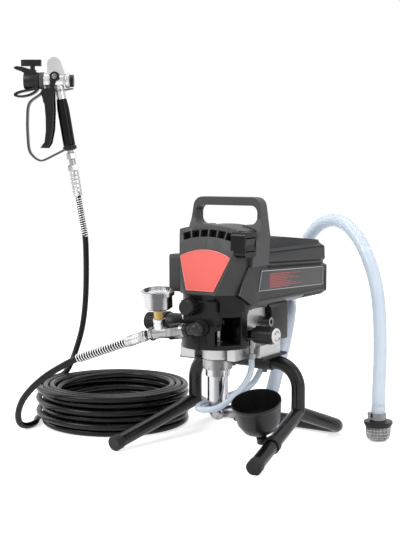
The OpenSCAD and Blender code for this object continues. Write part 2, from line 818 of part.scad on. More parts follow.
// Cover of the pressure control on the left, rounded towards the front
module control_box() {
    color("#3a3b3d") place() difference() {
        intersection() {
            slab_x(-cover_x - 11, -30) polygon([[-38, split_z + eps], [-44, 290], [-44, 343],
                [-38, 349], [-6.3, 349], [-6.3, strap_z - 0.1], [20.9, strap_z - 0.1],
                [20.9, split_z + eps]]);
            translate([0, 0, 250]) linear_extrude(110) {
                translate([-cover_x - 1, -37]) circle(10);
                translate([-cover_x - 11, -37]) square([40, 60]);
                translate([-cover_x - 1, -47]) square([30, 20]);
            }
        }
        translate([0, 0, 250]) linear_extrude(120) cover_plan(eps);
    }
}

module rear_grille() {
    color("#1c1c1e") place() translate([0, 0, 308]) difference() {
        slab_y(shroud_y - 5, shroud_y - 1) round_rect(96 - 2 * eps, 62 - 2 * eps, 8);
        for (i = [0 : grille_n - 1])
            translate([(i - (grille_n - 1) / 2) * 84 / grille_n - 2.5, shroud_y - 8, -24])
                cube([5, 10, 48]);
    }
}

// Moulded hood on the right of the front cover, with the rocker in it
module switch_box() {
    color("#1a1a1b") place() difference() {
        slab_x(50, cover_x + box_t) translate([box_y, box_z]) round_rect(box_w, box_h, 8);
        intersection() {
            translate([0, 0, 300]) linear_extrude(120) cover_plan(eps);
            on_face() translate([-90, -eps, split_z - 60]) cube([200, 110, 220]);
        }
        slab_x(cover_x + 3, cover_x + 30) translate([box_y, box_z]) round_rect(33, 25, 2);
        translate([cover_x + box_t - 4, box_y, box_z]) cyl_y(-18.3, 18.3, 3 + 2 * run_fit);
    }
}

// Rocker that tilts on a pin along its middle
module power_switch() {
    color("#202022") place() translate([cover_x + box_t - 4, box_y, box_z]) {
        slab_y(-15, 15) polygon([[-3.5, -4], [-1, -10.5], [4.6, -10.5], [2.6, 0],
            [4.6, 10.5], [-1, 10.5], [-3.5, 4]]);
        cyl_y(-18, 18, 3);
    }
}

// Strain relief of the mains lead; the lead itself isn't part of the model
module cord_gland() {
    color("#202022") place() translate([-52, 0, 268]) difference() {
        union() {
            cyl_y(shroud_y - 7, shroud_y + 1, 14);
            cyl_y(shroud_y, shroud_y + 6, 19);
            translate([0, shroud_y + 5, 0]) rotate([-90, 0, 0]) cylinder(d1 = 16, d2 = 12, h = 13);
        }
        cyl_y(shroud_y - 4, shroud_y + 30, 8);
    }
}

// ---- Fluid end ----
module filter_housing() {
    color("#2a2b2d") place() difference() {
        translate([0, filter_y, filter_z]) {
            cyl_x(filter_x, -30, filter_d + 4);
            cyl_x(filter_x + 8, filter_x + 20, filter_d + 8);
        }
        translate([0, 0, 180]) cylinder(r = house_r + 3 + eps, h = 100, $fn = 96);
        translate([0, filter_y, filter_z]) cyl_x(filter_x - 1, filter_x + 12, 22 + 2 * run_fit);
    }
}

module filter_cap() {
    color("#202123") place() translate([filter_x - 0.3, filter_y, filter_z]) rotate([0, -90, 0]) {
        ribbed(filter_d, 26, 20);
        translate([0, 0, -11]) cylinder(d = 22, h = 12);
    }
}

// Puts its children on the outlet line's axis, s from the elbow
module on_run(s) {
    translate(elbow) rotate([0, -90 - run_a, 0]) translate([0, 0, s]) children();
}

module outlet_elbow() {
    color("#1f1f21") place() {
        translate([elbow[0], 0, elbow[2]]) {
            cyl_y(-82, -54, 20);
            cyl_y(-74, -house_r - 3 - eps, 27);
        }
        translate(elbow) sphere(d = 25);
        on_run(0) cylinder(d = 19, h = disc_s);
        on_run(disc_s - 0.01) cylinder(d = 23, h = 6);
    }
}

// Swivel nut with its grey collar; turns on the elbow's spigot
module swivel_nut() {
    color("#a9aaac") place() {
        on_run(disc_s + 6.3) difference() {
            union() {
                cylinder(d = 24, h = nut_s - disc_s - 7);
                translate([0, 0, nut_s - disc_s - 7]) hex(24, tee_s - nut_s - 0.1);
            }
            translate([0, 0, tee_s - disc_s - 16]) cylinder(d = 13 + 2 * run_fit, h = 20);
        }
    }
}

module outlet_tee() {
    color("#c4c5c7") place() {
        on_run(tee_s - 8) cylinder(d = 13, h = 10);
        on_run(tee_s) {
            cylinder(d = tee_d + 2, h = 8);
            translate([0, 0, 7]) cylinder(d = tee_d, h = 26);
            translate([0, 0, 32]) hex(21, tee_e - tee_s - 32 - 1);
        }
        translate(tee_p) sphere(d = 14);
        translate(tee_c) rotate(gauge_tilt) cylinder(d = 15, h = stem_z + 11);
    }
}

module gauge_stem() {
    color("#c9a04e") place() translate(tee_c) rotate(gauge_tilt) translate([0, 0, stem_z + 11 + eps]) {
        hex(17, case_z - stem_z - 11 - 2 * eps - 3);
        translate([0, 0, case_z - stem_z - 15]) cylinder(d = 12, h = 4 - 2 * eps);
    }
}

module on_gauge(z) {
    translate(tee_c) rotate(gauge_tilt) translate([0, 0, case_z + z]) children();
}

module gauge_case() {
    color("#d4d5d7") place() on_gauge(0) difference() {
        rotate_extrude() polygon([[0, 0], [gauge_d / 2 - 4, 0], [gauge_d / 2, 3],
            [gauge_d / 2, case_h - 3], [gauge_rim / 2, case_h - 2], [gauge_rim / 2, case_h + 5],
            [gauge_rim / 2 - 1.5, case_h + 6], [gauge_rim / 2 - 5, case_h + 6],
            [gauge_rim / 2 - 5, case_h + 3], [gauge_rim / 2 - 4, case_h + 3],
            [gauge_rim / 2 - 4, case_h - 1], [gauge_d / 2 - 2, case_h - 3],
            [gauge_d / 2 - 2, 10], [0, 10]]);
    }
}

module gauge_dial() {
    color("#f4f4f2") place() on_gauge(case_h - 3 + eps) difference() {
        cylinder(d = gauge_d - 4 - 2 * eps, h = 1);
        translate([0, 0, -1]) cylinder(d = 3 + 2 * run_fit, h = 3);
    }
}

module gauge_needle() {
    color("#202020") place() on_gauge(case_h - 4) {
        translate([0, 0, -2]) cylinder(d = 3, h = 4.6);
        translate([0, 0, 2.4]) {
            cylinder(d = 6, h = 1);
            rotate(225) linear_extrude(0.8) polygon([[-6, -1.5], [20, -0.4], [20, 0.4], [-6, 1.5]]);
        }
    }
}

module gauge_lens() {
    color([0.85, 0.9, 0.95, 0.5]) place() on_gauge(case_h + 1)
        cylinder(d = gauge_rim - 8 - 2 * eps, h = 2 - eps);
}

module pressure_knob() {
    color("#1d1d1f") place() translate([knob_x, knob_y, knob_z]) rotate([90, 0, 0]) {
        ribbed(knob_d, knob_l - 3, knob_ribs);
        translate([0, 0, knob_l - 3]) cylinder(d1 = knob_d - 3, d2 = knob_d - 6, h = 3);
        translate([0, 0, -14]) cylinder(d = 8, h = 15);
    }
}

module prime_valve() {
    color("#b9babb") place() {
        translate([0, prime_y, prime_z]) {
            cyl_x(plate_x + eps, plate_x + collar_l, 24);
            cyl_x(plate_x + eps, plate_x + 5, 29);
        }
        // drain spigot with the hose clamp, pointing down
        translate([spigot_x, prime_y, 0]) {
            translate([0, 0, 186]) cylinder(d = 14, h = prime_z - 186);
            translate([0, 0, spigot_z]) cylinder(d = 9, h = 22);
            translate([0, 0, spigot_z]) cylinder(d = drain_d + 4, h = 9);
        }
    }
}

module prime_knob() {
    color("#232325") place() translate([plate_x + collar_l + 0.3, prime_y, prime_z])
        rotate([0, 90, 0]) {
            ribbed(prime_d, prime_l, knob_ribs - 4);
            translate([0, 0, prime_l - 0.01]) cylinder(d1 = prime_d - 2, d2 = prime_d - 4, h = disc_l);
        }
}

// Plug with a socket in its end, screwed to the cast wall
module sensor_plug() {
    color("#7c7d7f") place() translate([plate_x + eps, sensor[0], sensor[1]]) rotate([0, 90, 0])
        difference() {
            union() {
                cylinder(d = 20, h = 5);
                translate([0, 0, 4]) hex(16, 18);
            }
            translate([0, 0, 14]) cylinder(d = 8, h = 20);
        }
}

// ---- Hose ends ----
module on_hose(s) {
    translate(tee_p) rotate(turn_to(u_hose)) translate([0, 0, s]) children();
}

module supply_ferrule() {
    color("#c2c3c5") place() on_hose(0) difference() {
        union() {
            translate([0, 0, 5]) cylinder(d = 15, h = 10);
            translate([0, 0, 12]) hex(20, 10);
            translate([0, 0, 22]) cylinder(d = ferrule_d - 2, h = ferrule_l - 20);
            for (z = [28, 38]) translate([0, 0, z]) cylinder(d = ferrule_d, h = 6);
        }
        sphere(d = 14 + 2 * eps);
    }
}

module supply_spring() {
    color("#bfc0c2") place() on_hose(ferrule_l + 2 + eps) spring(spring_n1, spring_l1);
}

module hose_supply() {
    v = coil_dir(coil_start);
    p = concat([for (s = [eps, 34, 68, spring_l1 + 3]) ferrule_e + s * u_hose],
        supply_pts, [coil_a - 20 * v, coil_a - eps * v]);
    color("#1a1a1a") place() tube(p, hose_d, 10);
}

module hose_coil() { color("#1a1a1a") place() tube(coil_pts, hose_d, 6); }

module hose_gun() {
    e = gun_spot(ferrule2_e);
    l = gun_way(lane);
    v = coil_dir(coil_start - 360 * coil_end);
    color("#1a1a1a") place() tube(concat([coil_b + eps * v, coil_b + 20 * v], gun_pts,
        [for (s = [spring_l2 + 3, 60, 30, eps]) e + s * l]), hose_d, 10);
}

module siphon_hose() { color("#cfe0ee") place() tube(siphon_pts, siphon_d, 12); }
module drain_hose() { color("#cfe0ee") place() tube(drain_pts, drain_d, 10); }

// Strainer at the siphon hose's end, standing on the floor
strain_p = siphon_pts[len(siphon_pts) - 1];
module strainer() {
    color("#8f9194") place() translate([strain_p[0], strain_p[1], 0]) difference() {
        union() {
            cylinder(d1 = 36, d2 = 44, h = 7);
            translate([0, 0, 7 - 0.01]) cylinder(d1 = 44, d2 = 46, h = 22);
            translate([0, 0, 28]) cylinder(d = 53, h = 10);
            translate([0, 0, 37]) cylinder(d = 31, h = strain_p[2] - 37 - eps);
        }
        translate([0, 0, 3]) cylinder(d = 38, h = 24);
        // slots that the paint is drawn through
        for (a = [0 : 30 : 330]) rotate(a) translate([10, -2.5, 7.5]) cube([20, 5, 17]);
    }
}

// ---- Gun ----
function rot_z(v, a) = [v[0] * cos(a) - v[1] * sin(a), v[0] * sin(a) + v[1] * cos(a), v[2]];
function gun_spot(v) = gun_o + rot_z(v, gun_turn);
function gun_way(v) = rot_z(v, gun_turn);
module gun() {
    translate(gun_o) rotate(gun_turn) children();
}

module on_grip(s) {
    translate(grip_top) rotate(turn_to(lane)) translate([0, 0, s]) children();
}

module gun_body() {
    color("#c6c7c8") place() gun() difference() {
        union() {
            cyl_x(-41, -20.5, nose_d);
            cyl_x(-48, -40, 20);
            cyl_x(-21, 8, 27);
            // humped top
            slab_y(-9, 9) {
                translate([-11, 34]) circle(14);
                polygon([[-25, 34], [-25, 0], [12, 0], [12, 10], [2.4, 38]]);
            }
            // neck down to the handle
            on_grip(-30) cylinder(d = 20, h = 30 - eps);
        }
        cyl_x(-70, -30, 8);
        translate(pivot) cyl_y(-30, 30, 6 + 2 * run_fit);
    }
}

// Screwed cap over the needle's spring
module gun_end_cap() {
    color("#2b2b2d") place() gun() {
        cyl_x(12 + eps, 20, 29);
        translate([19.9, 0, 0]) rotate([0, 90, 0]) hex(22, 9);
    }
}

// Flat lever that swings across behind the trigger
module trigger_lock() {
    color("#9a9b9d") place() gun() on_grip(-20) rotate(180) linear_extrude(4) difference() {
        union() {
            circle(12.8);
            translate([0, -3]) square([25, 6]);
            translate([25, 0]) circle(3);
        }
        circle(d = 20 + 2 * run_fit);
    }
}

module gun_handle() {
    color("#1c1c1e") place() gun() {
        on_grip(0) {
            cylinder(d1 = grip_d - 4, d2 = grip_d, h = 20);
            translate([0, 0, 20 - 0.01]) cylinder(d = grip_d, h = grip_l - 32);
            translate([0, 0, grip_l - 12.02]) cylinder(d1 = grip_d, d2 = grip_d - 5, h = 12);
        }
    }
}

module gun_ferrule() {
    color("#c4c5c7") place() gun() on_grip(grip_l) {
        translate([0, 0, 0.3]) cylinder(d = 13, h = 6);
        translate([0, 0, 5]) hex(18, 14);
        translate([0, 0, 18]) cylinder(d = 14, h = nut_l - 17);
        translate([0, 0, nut_l]) cylinder(d = 18, h = ferrule2_l);
        translate([0, 0, nut_l]) hex(21, 13);
        for (z = [26, 38, 50]) translate([0, 0, nut_l + z]) cylinder(d = 20, h = 8);
    }
}

module gun_spring() {
    color("#bfc0c2") place() gun() on_grip(grip_l + nut_l + ferrule2_l + eps)
        spring(spring_n2, spring_l2);
}

// Two cheeks on the pivot pin, joined by the blade that the fingers pull
module gun_trigger() {
    h = trigger_w / 2;
    color("#202022") place() gun() {
        for (s = [-1, 1]) translate([0, s * (h - 1.5), 0]) slab_y(-1.5, 1.5) {
            translate([pivot[0], pivot[2]]) circle(10);
            polygon([[pivot[0] - 9, 10], [pivot[0] + 9, 10], [-12, -17], [-11, -60], [-13, -100],
                [-19, -128], [-26, -138], [-40, -138], [-31, -126], [-28, -104], [-28, -76],
                [-30, -50], [-36, -30], [-36, -20], [-19, -15]]);
        }
        slab_y(-h + 1, h - 1) polygon([[-34, -40], [-30, -50], [-28, -76], [-28, -104],
            [-31, -126], [-40, -138], [-34, -138], [-28, -127], [-25, -104], [-25, -76],
            [-27, -50], [-31, -40]]);
        translate(pivot) cyl_y(-h + 1, h - 1, 6);
    }
}

module trigger_guard() {
    g = guard_w / 2;
    low = grip_end[2] + 0.6;
    color("#2c2c2e") place() gun() difference() {
        union() {
            slab_y(-g, g) polygon([[-36, -14], [-41, -24], [-62, -39], [-68, -51], [-70, -82],
                [-70, -102], [-68, low + 4], [-60, low - 13], [-38, low - 25], [14, low],
                [14, low + 5], [-37, low - 20], [-57, low - 9], [-64, low + 6], [-66, -102],
                [-66, -82], [-64, -53], [-59, -43], [-40, -29.5], [-32, -14]]);
            on_grip(grip_l - 9) cylinder(d = grip_d + 4, h = 8);
            slab_x(-41, -30) intersection() {
                circle(d = nose_d + 6);
                translate([-9, -30]) square([18, 26]);
            }
        }
        cyl_x(-50, 0, nose_d + 2 * eps);
        on_grip(0) cylinder(d = grip_d + 2 * eps, h = grip_l);
    }
}

module tip_guard() {
    color("#19191a") place() gun() difference() {
        union() {
            cyl_x(-74, -41.4, 35);
            // wings above and below the spray opening
            for (s = [0, 1]) mirror([0, 0, s]) slab_y(-14, 14)
                polygon([[-62, 10], [-66, 24], [-90, 33], [-96, 31], [-95, 27], [-78, 16],
                    [-74, 10]]);
        }
        // slot through the lower wing
        translate([-84, 0, -24.5]) rotate([0, -25, 0]) cube([16, 40, 4], center = true);
        cyl_x(-61, -40, 20 + 2 * eps);
        cyl_x(-80, -62, 22);
        translate([tip_x, 0, -30]) cylinder(d = 12 + 2 * run_fit, h = 60);
    }
}

module spray_tip() {
    color("#2a2a2c") place() gun() difference() {
        translate([tip_x, 0, 0]) {
            translate([0, 0, -17]) cylinder(d = 12, h = 39);
            translate([0, 0, 18.2]) cylinder(d = 15, h = 4);
            translate([0, 0, 21]) cylinder(d = 10, h = 10);
            translate([0, 0, 30]) linear_extrude(13)
                polygon([[-24, 0], [-16, -5.5], [18, -5.5], [18, 5.5], [-16, 5.5]]);
        }
        cyl_x(-80, -30, 3);
    }
}

cross_tube();
tube_sleeves();
legs();
front_feet();
rear_feet();
foot_caps();
sleeve_bolts();
drip_cup();
cup_bracket();
base_plate();
pump_casting();
pump_collar();
pump_cylinder();
inlet_valve();
piston_rod();
connecting_rod();
crank();
packing_nut();
gear_housing();
front_cover();
front_plate();
carry_handle();
motor_shroud();
control_box();
rear_grille();
switch_box();
power_switch();
cord_gland();
filter_housing();
filter_cap();
outlet_elbow();
outlet_tee();
swivel_nut();
gauge_stem();
gauge_case();
gauge_dial();
gauge_needle();
gauge_lens();
pressure_knob();
prime_valve();
prime_knob();
sensor_plug();
supply_ferrule();
supply_spring();
hose_supply();
hose_coil();
hose_gun();
gun_spring();
gun_ferrule();
siphon_hose();
strainer();
drain_hose();
gun_body();
gun_end_cap();
gun_handle();
gun_trigger();
trigger_lock();
trigger_guard();
tip_guard();
spray_tip();
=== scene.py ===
import json
import math

import bmesh
import bpy
from mathutils import Matrix, Vector

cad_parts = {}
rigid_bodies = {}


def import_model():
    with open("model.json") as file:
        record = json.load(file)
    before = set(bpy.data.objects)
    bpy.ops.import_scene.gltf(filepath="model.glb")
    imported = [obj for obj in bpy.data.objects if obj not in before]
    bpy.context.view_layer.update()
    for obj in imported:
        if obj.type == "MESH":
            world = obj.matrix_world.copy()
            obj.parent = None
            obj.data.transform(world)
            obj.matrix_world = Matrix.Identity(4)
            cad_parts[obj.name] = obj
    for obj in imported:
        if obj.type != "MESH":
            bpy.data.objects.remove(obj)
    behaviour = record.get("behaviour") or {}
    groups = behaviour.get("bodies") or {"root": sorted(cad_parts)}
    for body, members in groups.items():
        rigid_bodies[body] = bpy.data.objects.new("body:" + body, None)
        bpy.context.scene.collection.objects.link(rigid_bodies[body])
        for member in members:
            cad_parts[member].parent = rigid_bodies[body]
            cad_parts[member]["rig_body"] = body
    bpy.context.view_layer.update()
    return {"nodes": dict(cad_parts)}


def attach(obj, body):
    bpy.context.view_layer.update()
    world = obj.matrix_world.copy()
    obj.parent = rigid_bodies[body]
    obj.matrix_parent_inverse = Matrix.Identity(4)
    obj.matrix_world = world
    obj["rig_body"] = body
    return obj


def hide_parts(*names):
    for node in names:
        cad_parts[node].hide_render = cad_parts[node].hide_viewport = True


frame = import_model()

SCENE = bpy.context.scene
NODES = frame["nodes"]

# The model is measured from the pump's axis, in millimetres; the row's origin is
# on the floor under the middle of machine and gun.
ORIGIN = Vector((-197.6, 92.8, 0))
UP = Vector((0, 0, 1))


def at(x, y, z):
    """A point given in millimetres from the pump's axis, in the row frame."""
    return (Vector((x, y, z)) - ORIGIN) / 1000


def unit(v):
    return Vector(v).normalized()


# ---- Camera ----

CAMERA_AT = (1020.6, -1636.0, 503)
CAMERA_LENS, CAMERA_FILM = 73.9, 36
CAMERA_TURN, CAMERA_DOWN = math.radians(32.9), math.radians(5.2)


def set_camera():
    cam = bpy.data.objects.new("camera", bpy.data.cameras.new("camera"))
    SCENE.collection.objects.link(cam)
    cam.data.sensor_width = CAMERA_FILM
    cam.data.lens = CAMERA_LENS
    cam.data.clip_end = 50
    cam.location = at(*CAMERA_AT)
    level = math.cos(CAMERA_DOWN)
    look = Vector((-math.sin(CAMERA_TURN) * level, math.cos(CAMERA_TURN) * level,
                   -math.sin(CAMERA_DOWN)))
    cam.rotation_euler = look.to_track_quat("-Z", "Y").to_euler()
    SCENE.camera = cam


set_camera()


# ---- Shapes ----

PIECES = dict(NODES)    # every piece by its name; a softened copy takes its part's place
MERGE = 1e-6            # points closer than this many metres become one
SHARP = 28              # degrees from which an edge is rounded
KNOT = 0.002            # radius of a curve's points: a larger one pads the scene's bounds


def add_piece(name, data, body, stands_for=()):
    """Links a piece, lets it ride on a body and hides the parts it stands for."""
    piece = bpy.data.objects.new(name, data)
    SCENE.collection.objects.link(piece)
    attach(piece, body)
    if stands_for:
        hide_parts(*stands_for)
    PIECES[name] = piece
    return piece


def keep_creases(mesh, crisp=32):
    mesh.shade_smooth()
    mesh.set_sharp_from_angle(angle=math.radians(crisp))


def axes_of(way):
    """Two directions square to way and to each other."""
    way = unit(way)
    side = unit(way.cross(UP)) if abs(way.z) < 0.99 else Vector((1, 0, 0))
    return side, way.cross(side)


def skin(name, rings, body, stands_for=(), crisp=32):
    """A closed surface through rings of points, given in millimetres."""
    bm = bmesh.new()
    rows = [[bm.verts.new(at(*p)) for p in ring] for ring in rings]
    for a, b in zip(rows, rows[1:]):
        for i in range(len(a)):
            j = i - 1
            bm.faces.new((a[j], a[i], b[i], b[j]))
    for row in (rows[0], rows[-1]):
        if (row[0].co - row[1].co).length > MERGE:
            bm.faces.new(row)
    bmesh.ops.remove_doubles(bm, verts=bm.verts, dist=MERGE)
    bmesh.ops.recalc_face_normals(bm, faces=bm.faces)
    mesh = bpy.data.meshes.new(name)
    bm.to_mesh(mesh)
    bm.free()
    keep_creases(mesh, crisp)
    return add_piece(name, mesh, body, stands_for)


def turn_ring(centre, way, along, radius, sides, ribs=0, bite=0.0):
    """A ring of points round way; ribs flutes bite into its radius."""
    side, up = axes_of(way)
    ring = []
    for i in range(sides):
        a = math.tau * i / sides
        r = radius - bite * (0.5 + 0.5 * math.cos(ribs * a))
        ring.append(centre + along * unit(way) + r * (math.cos(a) * side + math.sin(a) * up))
    return ring


def turned_piece(name, body, centre, way, profile, sides=48, ribs=0, stands_for=(), crisp=32):
    """A piece from the lathe; profile gives (distance along way, radius[, depth of flutes])."""
    rings = [turn_ring(Vector(centre), Vector(way), along, radius, sides, ribs, *bite)
             for along, radius, *bite in profile]
    return skin(name, rings, body, stands_for, crisp)


def rounded(profile, cut):
    """Cuts the corners of a lathe profile by cut millimetres."""
    steps = [profile[0]]
    for before, here, after in zip(profile, profile[1:], profile[2:]):
        for other in (before, after):
            d = math.hypot(other[0] - here[0], other[1] - here[1])
            t = min(cut / d, 0.45) if d else 0
            steps.append((here[0] + t * (other[0] - here[0]), here[1] + t * (other[1] - here[1])))
    return steps + [profile[-1]]


def slab(name, body, outline, depth, width):
    """A flat plate: outline points and its thickness as a vector, edges rounded by width."""
    depth = Vector(depth)
    rings = [[Vector(p) for p in outline], [Vector(p) + depth for p in outline]]
    return round_edges(skin(name, rings, body), width)


def round_edges(piece, width):
    edge = piece.modifiers.new("edge", "BEVEL")
    edge.width = width / 1000
    edge.segments = 2
    edge.limit_method = "ANGLE"
    edge.angle_limit = math.radians(SHARP)
    edge.harden_normals = True
    edge.miter_outer = "MITER_ARC"
    return piece


def eased(points, parts=4):
    """More points on the smooth line through the given ones."""
    points = [Vector(p) for p in points]
    ends = [2 * points[0] - points[1]] + points + [2 * points[-1] - points[-2]]
    line = []
    for a, b, c, d in zip(ends, ends[1:], ends[2:], ends[3:]):
        for i in range(parts):
            t = i / parts
            line.append(0.5 * (2 * b + (c - a) * t + (2 * a - 5 * b + 4 * c - d) * t * t
                               + (3 * b - a - 3 * c + d) * t ** 3))
    return line + [points[-1]]


def strap(name, body, path, across, width, thick, stands_for=()):
    """A flat bent strip with rounded edges along a path."""
    across = unit(across)
    rings = []
    for i, p in enumerate(path):
        way = unit(path[min(i + 1, len(path) - 1)] - path[max(i - 1, 0)])
        out = way.cross(across)
        w, t = width / 2, thick / 2
        c = 0.6 * t
        rings.append([p + u * across + v * out for u, v in (
            (w - c, t), (w - c / 3, t - c / 3), (w, t - c), (w, c - t), (w - c / 3, c / 3 - t),
            (w - c, -t), (c - w, -t), (c / 3 - w, c / 3 - t), (-w, c - t), (-w, t - c),
            (c / 3 - w, t - c / 3), (c - w, t))])
    return skin(name, rings, body, stands_for)


def bead(name, body, points, diameter, closed=False, smooth=3):
    """A round wire, tube or moulding through the points, in millimetres."""
    curve = bpy.data.curves.new(name, "CURVE")
    curve.dimensions = "3D"
    curve.bevel_depth = diameter / 2000 / KNOT
    curve.bevel_resolution = smooth
    curve.use_fill_caps = True
    line = curve.splines.new("POLY")
    line.points.add(len(points) - 1)
    line.use_cyclic_u = closed
    line.use_smooth = True
    for knot, p in zip(line.points, points):
        knot.co = (*at(*p), 1)
        knot.radius = KNOT
    return add_piece(name, curve, body)


def bent(corners, radius):
    """The line through the corners, turned at each on an arc of the given radius."""
    parts = 10
    line = [corners[0]]
    for before, here, after in zip(corners, corners[1:], corners[2:]):
        a, b = unit(before - here), unit(after - here)
        half = a.angle(b) / 2
        middle = here + unit(a + b) * radius / math.sin(half)
        reach = radius / math.tan(half)
        start, end = here + a * reach - middle, here + b * reach - middle
        line += [middle + radius * unit(start.slerp(end, i / parts)) for i in range(parts + 1)]
    return line + [corners[-1]]


# ---- Outlet line and gun: where the pressure hose starts and ends ----

ELBOW = Vector((8, -82, 227))
RUN_DOWN = math.radians(10)
RUN = Vector((-math.cos(RUN_DOWN), 0, -math.sin(RUN_DOWN)))
TEE = ELBOW + 78 * RUN
TEE_END = ELBOW + 98 * RUN
HOSE_DOWN, HOSE_ASIDE = math.radians(20), math.radians(4)
HOSE_WAY = Vector((-math.cos(HOSE_DOWN) * math.cos(HOSE_ASIDE),
                   -math.cos(HOSE_DOWN) * math.sin(HOSE_ASIDE),
                   -math.sin(HOSE_DOWN)))
FERRULE_END = TEE_END + 54 * HOSE_WAY

GUN_AT = Vector((-464, 126, 680))
GUN_TURN = math.radians(32.9)
LEAN = math.radians(9.2)        # how far the gun's handle leans
LANE = Vector((math.sin(LEAN), 0, -math.cos(LEAN)))
GRIP_TOP = Vector((3, 0, -38))
GRIP_L, UNION_L, SLEEVE_L = 106, 30, 66


def turned(v):
    """A direction of the gun's own frame, in the model's."""
    c, s = math.cos(GUN_TURN), math.sin(GUN_TURN)
    return Vector((v[0] * c - v[1] * s, v[0] * s + v[1] * c, v[2]))


def gun_spot(x, y, z):
    """A point of the gun's own frame, in the model's."""
    return GUN_AT + turned((x, y, z))


# ---- Hose routes, the same points as the source's ----

HOSE_D = 12.4
SIPHON_D = 25
DRAIN_D = 11
WIRE_D = 2
WIRE_SLACK = 0.45                       # air between the hose and its bend spring
SPRING_1, SPRING_2 = 114, 86            # bend springs by the machine and by the gun
GAP = 0.05                              # daylight between pieces that butt
COIL_AT = (-290, 75)
COIL_FROM, COIL_TURNS = 205, 18.055     # where the coil starts, in degrees, and its turns
COIL_R = 148.8
COIL_LOOPS, COIL_LAYERS, COIL_PITCH = 3, 6, 13
CLIMB = 0.5                             # share of a turn in which the hose gains a layer
LEAD = 20                               # straight stretch before and after the coil
SUPPLY = [
    (-276, -100, 137), (-306, -108, 118), (-335, -114, 94), (-359, -117, 67),
    (-375, -112, 40), (-382, -102, 19), (-384, -87, 9), (-384, -70, 6.4),
    (-388, -52, 6.2), (-399, -34, 6.2)]
TO_GUN = [
    (-440, 105, 76), (-437, 114, 88), (-434, 124, 106), (-431, 134, 130),
    (-427, 143, 160), (-424, 149, 196), (-422, 152, 236), (-421, 153, 278),
    (-421, 153, 320)]
SIPHON = [
    (20, 24, 66), (30, 36, 66), (41, 55, 65), (47, 78, 67), (48, 102, 76),
    (44, 124, 94), (42, 142, 120), (42, 158, 148), (40, 176, 176), (34, 198, 200),
    (22, 226, 218), (6, 260, 228), (-12, 292, 233), (-24, 318, 246), (-26, 330, 274),
    (-18, 334, 306), (-4, 333, 338), (16, 326, 368), (44, 316, 390), (78, 302, 399),
    (114, 288, 390), (147, 275, 362), (175, 260, 322), (196, 246, 274), (208, 233, 220),
    (216, 219, 164), (220, 208, 116), (220, 206, 90), (220, 206, 66)]
DRAIN = [
    (60, 16, 165.9), (60, 16, 150), (58, 12, 136), (51, 3, 118), (38, -14, 98), (20, -28, 82),
    (-2, -34, 76), (-24, -26, 74), (-35, -4, 75), (-31, 20, 78), (-14, 38, 84),
    (6, 54, 92), (16, 78, 98), (18, 104, 110), (20, 128, 134), (20, 150, 162),
    (16, 174, 186), (8, 204, 206), (-8, 238, 219)]


def coil_way(degrees):
    """The direction of the coiled hose where it is at that angle."""
    a = math.radians(degrees)
    return Vector((math.sin(a), -math.cos(a), 0))


def coil_point(turns):
    """The coiled hose's middle after so many turns: layer by layer, inwards and out again."""
    layer = math.floor(min(turns, COIL_LOOPS * COIL_LAYERS - 0.0001) / COIL_LOOPS)
    across = turns - layer * COIL_LOOPS
    radius = COIL_R - COIL_PITCH * (across if layer % 2 == 0 else COIL_LOOPS - across)
    layers_up = sum(min(1, max(0, (turns - k * COIL_LOOPS + CLIMB / 2) / CLIMB))
                    for k in range(1, COIL_LAYERS))
    a = math.radians(COIL_FROM - 360 * turns)
    return Vector((COIL_AT[0] + radius * math.cos(a), COIL_AT[1] + radius * math.sin(a),
                   HOSE_D / 2 + GAP + COIL_PITCH * layers_up))


def whole_hose():
    """The pressure hose's line from its ferrule at the machine to the gun's."""
    steps = math.ceil(COIL_TURNS * 24)
    coil = [coil_point(COIL_TURNS * i / steps) for i in range(steps + 1)]
    into, out = coil_way(COIL_FROM), coil_way(COIL_FROM - 360 * COIL_TURNS)
    start = coil[0] - HOSE_D * into
    end = coil[-1] + HOSE_D * out
    gun_end = gun_spot(*(GRIP_TOP + (GRIP_L + UNION_L + SLEEVE_L) * LANE))
    lane = turned(LANE)
    in_spring_1 = [FERRULE_END + s * HOSE_WAY for s in (GAP, 34, 68, SPRING_1 + 3)]
    in_spring_2 = [gun_end + s * lane for s in (SPRING_2 + 3, 60, 30, GAP)]
    return (in_spring_1 + [Vector(p) for p in SUPPLY] + [start - LEAD * into, start] + coil
            + [end, end + LEAD * out] + [Vector(p) for p in TO_GUN] + in_spring_2)


def length_of(points):
    return sum((b - a).length for a, b in zip(points, points[1:]))


def ferrule(name, centre, way, length, stands_for):
    """Crimped sleeve: a plain collar, then pressed rings."""
    rings = 5
    steps = [(0, 7), (0, 9.2), (14, 9.2), (14, 8.8)]
    for ring in range(rings):
        start = 17 + ring * (length - 22) / rings
        steps += [(start, 8.8), (start + 1, 9.8), (start + 5, 9.8), (start + 6, 8.8)]
    steps += [(length - 1, 9), (length, 8.2), (length, 6.6)]
    return turned_piece(name, "base", centre, way, rounded(steps, 0.4), 40, stands_for=stands_for)


def wire_spring(name, foot, way, curls, length, stands_for):
    """A bend spring round a hose, from foot along way."""
    way = unit(way)
    side, up = axes_of(way)
    radius = (HOSE_D + WIRE_D) / 2 + WIRE_SLACK
    a_curl = 16
    steps = curls * a_curl
    points = []
    for i in range(steps + 1):
        a = i * math.tau / a_curl
        rise = WIRE_D / 2 + (length - WIRE_D) * i / steps
        points.append(foot + rise * way + radius * (math.cos(a) * side + math.sin(a) * up))
    spring = bead(name, "base", points, WIRE_D)
    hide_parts(stands_for)
    return spring


